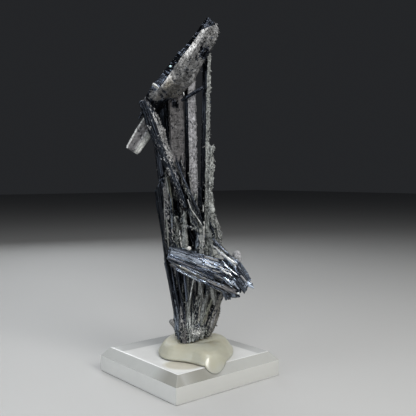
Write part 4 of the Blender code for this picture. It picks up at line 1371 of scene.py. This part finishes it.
def glueFinish():
    finish = Finish("hotGlue", IOR=1.48, Transmission_Weight=0.1, Subsurface_Weight=0.8,
                    Subsurface_Scale=4 * mm, Coat_Roughness=0.05)
    finish.shader.inputs["Subsurface Radius"].default_value = (1.0, 0.95, 0.8)
    place = finish.place()
    cloud = finish.noise(place, 0.16, 3, 0.55)
    ripple = finish.noise(place, 0.5, 2, 0.5)
    x, y, z = parted(finish, place)
    # painted light: the lower glue, along its thin lip, is lighter
    low = (z * -0.28 + 4.5).clamped()
    body = finish.mixed(((cloud - 0.38) * 4).clamped(), (0.40, 0.395, 0.32, 1), (0.345, 0.32, 0.235, 1))
    finish.feed(finish.shader, {
        "Base Color": finish.mixed(low * 0.55, body, (0.53, 0.535, 0.455, 1)),
        "Roughness": (ripple * 0.2 + 0.42).clamped(),
        "Coat Weight": (hump(x, 18.5, 9.0) * hump(y, -4.5, 9.0) * 1.6).clamped(),
        "Normal": finish.bump(ripple, 0.25 * mm, 0.5),
    })
    return finish.material


glue = glueBlob(glueLook)
settle(glue, "hot_glue", "hot_glue")


# ---- pale knob on the bundle's right end

knobLook = {"centre": (18.9, -6.8, 47.0), "radii": (2.1, 1.9, 3.3), "tint": (0.30, 0.30, 0.31)}
knob = lumpyBall(knobLook["centre"], knobLook["radii"], knobLook["tint"], 22, 30, 4)
buildPiece("paleKnob", [knob], "pale_knob", "pale_crystal")


# ---- grains of the crust

everyUpright = [shape for shapes in uprights.values() for shape in shapes]
grainLook = {            # "from" is how crusted a place has to be, and "dark" the share of bare grains
    "seed": 8, "count": 9000, "size": (0.12, 0.34), "from": 0.35, "lowest": 15.5,
    "shade": (0.6, 1.25), "dark": 0.1
}
nestLook = grainLook | {
    "seed": 14, "count": 1500, "shade": (0.35, 1.5), "tint": (0.26, 0.27, 0.25), "nests": nests,
    "frontFrom": -1.5, "dark": 0.3
}
footLook = nestLook | {
    "seed": 15, "size": (0.12, 0.3), "nests": [(2.8, 17.0, 6.2, 3.0, 1.0)], "frontFrom": -3.0
}
whiteLook = footLook | {
    "seed": 16, "count": 700, "size": (0.14, 0.3), "nests": [(3.3, 17.8, 1.7, 1.3, 1.0)],
    "tint": (0.85, 0.85, 0.83), "shade": (0.8, 1.15), "dark": 0.0
}
grains("grainsOnUprights", everyUpright + posts, grainLook, "upright_spray")
grains("grainsInNests", everyUpright + posts + slivers, nestLook, "upright_spray")
grains("grainsAtFoot", [root, *toes, *frontNeedles], footLook, "upright_spray")
grains("whiteGrainsAtFoot", [root, *toes, *frontNeedles], whiteLook, "upright_spray")
grains("grainsOnDiagonal", [diagonal], grainLook | {"seed": 9, "count": 1200}, "diagonal_crystal")
grains("grainsOnBlade", [blade], grainLook | {"seed": 10, "count": 2000, "size": (0.08, 0.2)}, "top_blade")
atRoot = [root, *frontNeedles, *backNeedles]
grains("grainsAtRoot", atRoot, grainLook | {"seed": 12, "count": 3000}, "upright_spray")


# ---- floor, light and camera

viewLook = {
    "azimuth": math.radians(50.0),
    "elevation": math.radians(2.892),
    "distance": 240.3,
    "aimRight": 7.737,
    "aimHeight": 65.87,
    "lens": 52.70,
}
lightLook = {          # right, towards the camera, height and size in millimetres, watts, colour
    "key": (260, 300, 330, 240, 1.85, (1.0, 0.98, 0.95)),
    "front": (-30, 260, 430, 220, 1.0, (0.94, 0.97, 1.0)),
    "fill": (-340, 240, 220, 320, 0.62, (0.92, 0.96, 1.0)),
    "top": (20, -60, 520, 360, 0.8, (1.0, 1.0, 1.0)),
    "back": (-160, -380, 260, 300, 0.6, (0.94, 0.97, 1.0)),
}


def viewBasis():
    azimuth, elevation = viewLook["azimuth"], viewLook["elevation"]
    right = np.array([math.cos(azimuth), math.sin(azimuth), 0])
    towards = np.array([math.sin(azimuth), -math.cos(azimuth), 0])
    back = towards * math.cos(elevation) + np.array([0, 0, math.sin(elevation)])
    return right, towards, back


def aim(item, place, target):
    item.location = Vector(place)
    item.rotation_mode = "QUATERNION"
    item.rotation_quaternion = (Vector(target) - Vector(place)).to_track_quat("-Z", "Y")


def studio():
    right, towards, back = viewBasis()
    scene = bpy.context.scene
    for name, (u, w, z, size, power, colour) in lightLook.items():
        lamp = bpy.data.lights.new(name, "AREA")
        lamp.shape, lamp.size, lamp.energy, lamp.color = "DISK", size * mm, power, colour
        item = bpy.data.objects.new(name, lamp)
        scene.collection.objects.link(item)
        place = (right * u + towards * w + np.array([0, 0, z])) * mm
        aim(item, place, (0, 0, 0.06))
    world = bpy.data.worlds.new("room")
    world.use_nodes = True
    world.node_tree.nodes["Background"].inputs["Color"].default_value = (0.018, 0.019, 0.021, 1)
    scene.world = world
    camera = bpy.data.objects.new("camera", bpy.data.cameras.new("camera"))
    scene.collection.objects.link(camera)
    camera.data.lens = viewLook["lens"]
    camera.data.clip_start, camera.data.clip_end = 0.01, 20
    target = (right * viewLook["aimRight"] + np.array([0, 0, viewLook["aimHeight"]])) * mm
    aim(camera, target + back * viewLook["distance"] * mm, target)
    scene.camera = camera


def floor():
    finish = Finish("paleFloor", Roughness=0.6)
    cloud = finish.noise(finish.place(), 6 * mm, 3, 0.5)
    colour = finish.mixed(cloud, (0.44, 0.44, 0.435, 1), (0.41, 0.41, 0.405, 1))
    finish.feed(finish.shader, {"Base Color": colour})
    reach = 2.5
    edge = np.linspace(-reach, reach, 9)
    x, y = np.meshgrid(edge, edge)
    points = np.stack([x, y, np.full_like(x, -0.1 * mm)], -1).reshape(-1, 3)
    row, column = np.meshgrid(np.arange(8), np.arange(8), indexing="ij")
    start = (row * 9 + column).reshape(-1, 1)
    quads = np.concatenate([start, start + 1, start + 10, start + 9], 1)
    made = meshObject("floor", points, quads, np.zeros((0, 3), int), [finish.material])


floor()
studio()
bpy.context.scene.view_settings.view_transform = "Standard"
print("floor, lights and camera placed")
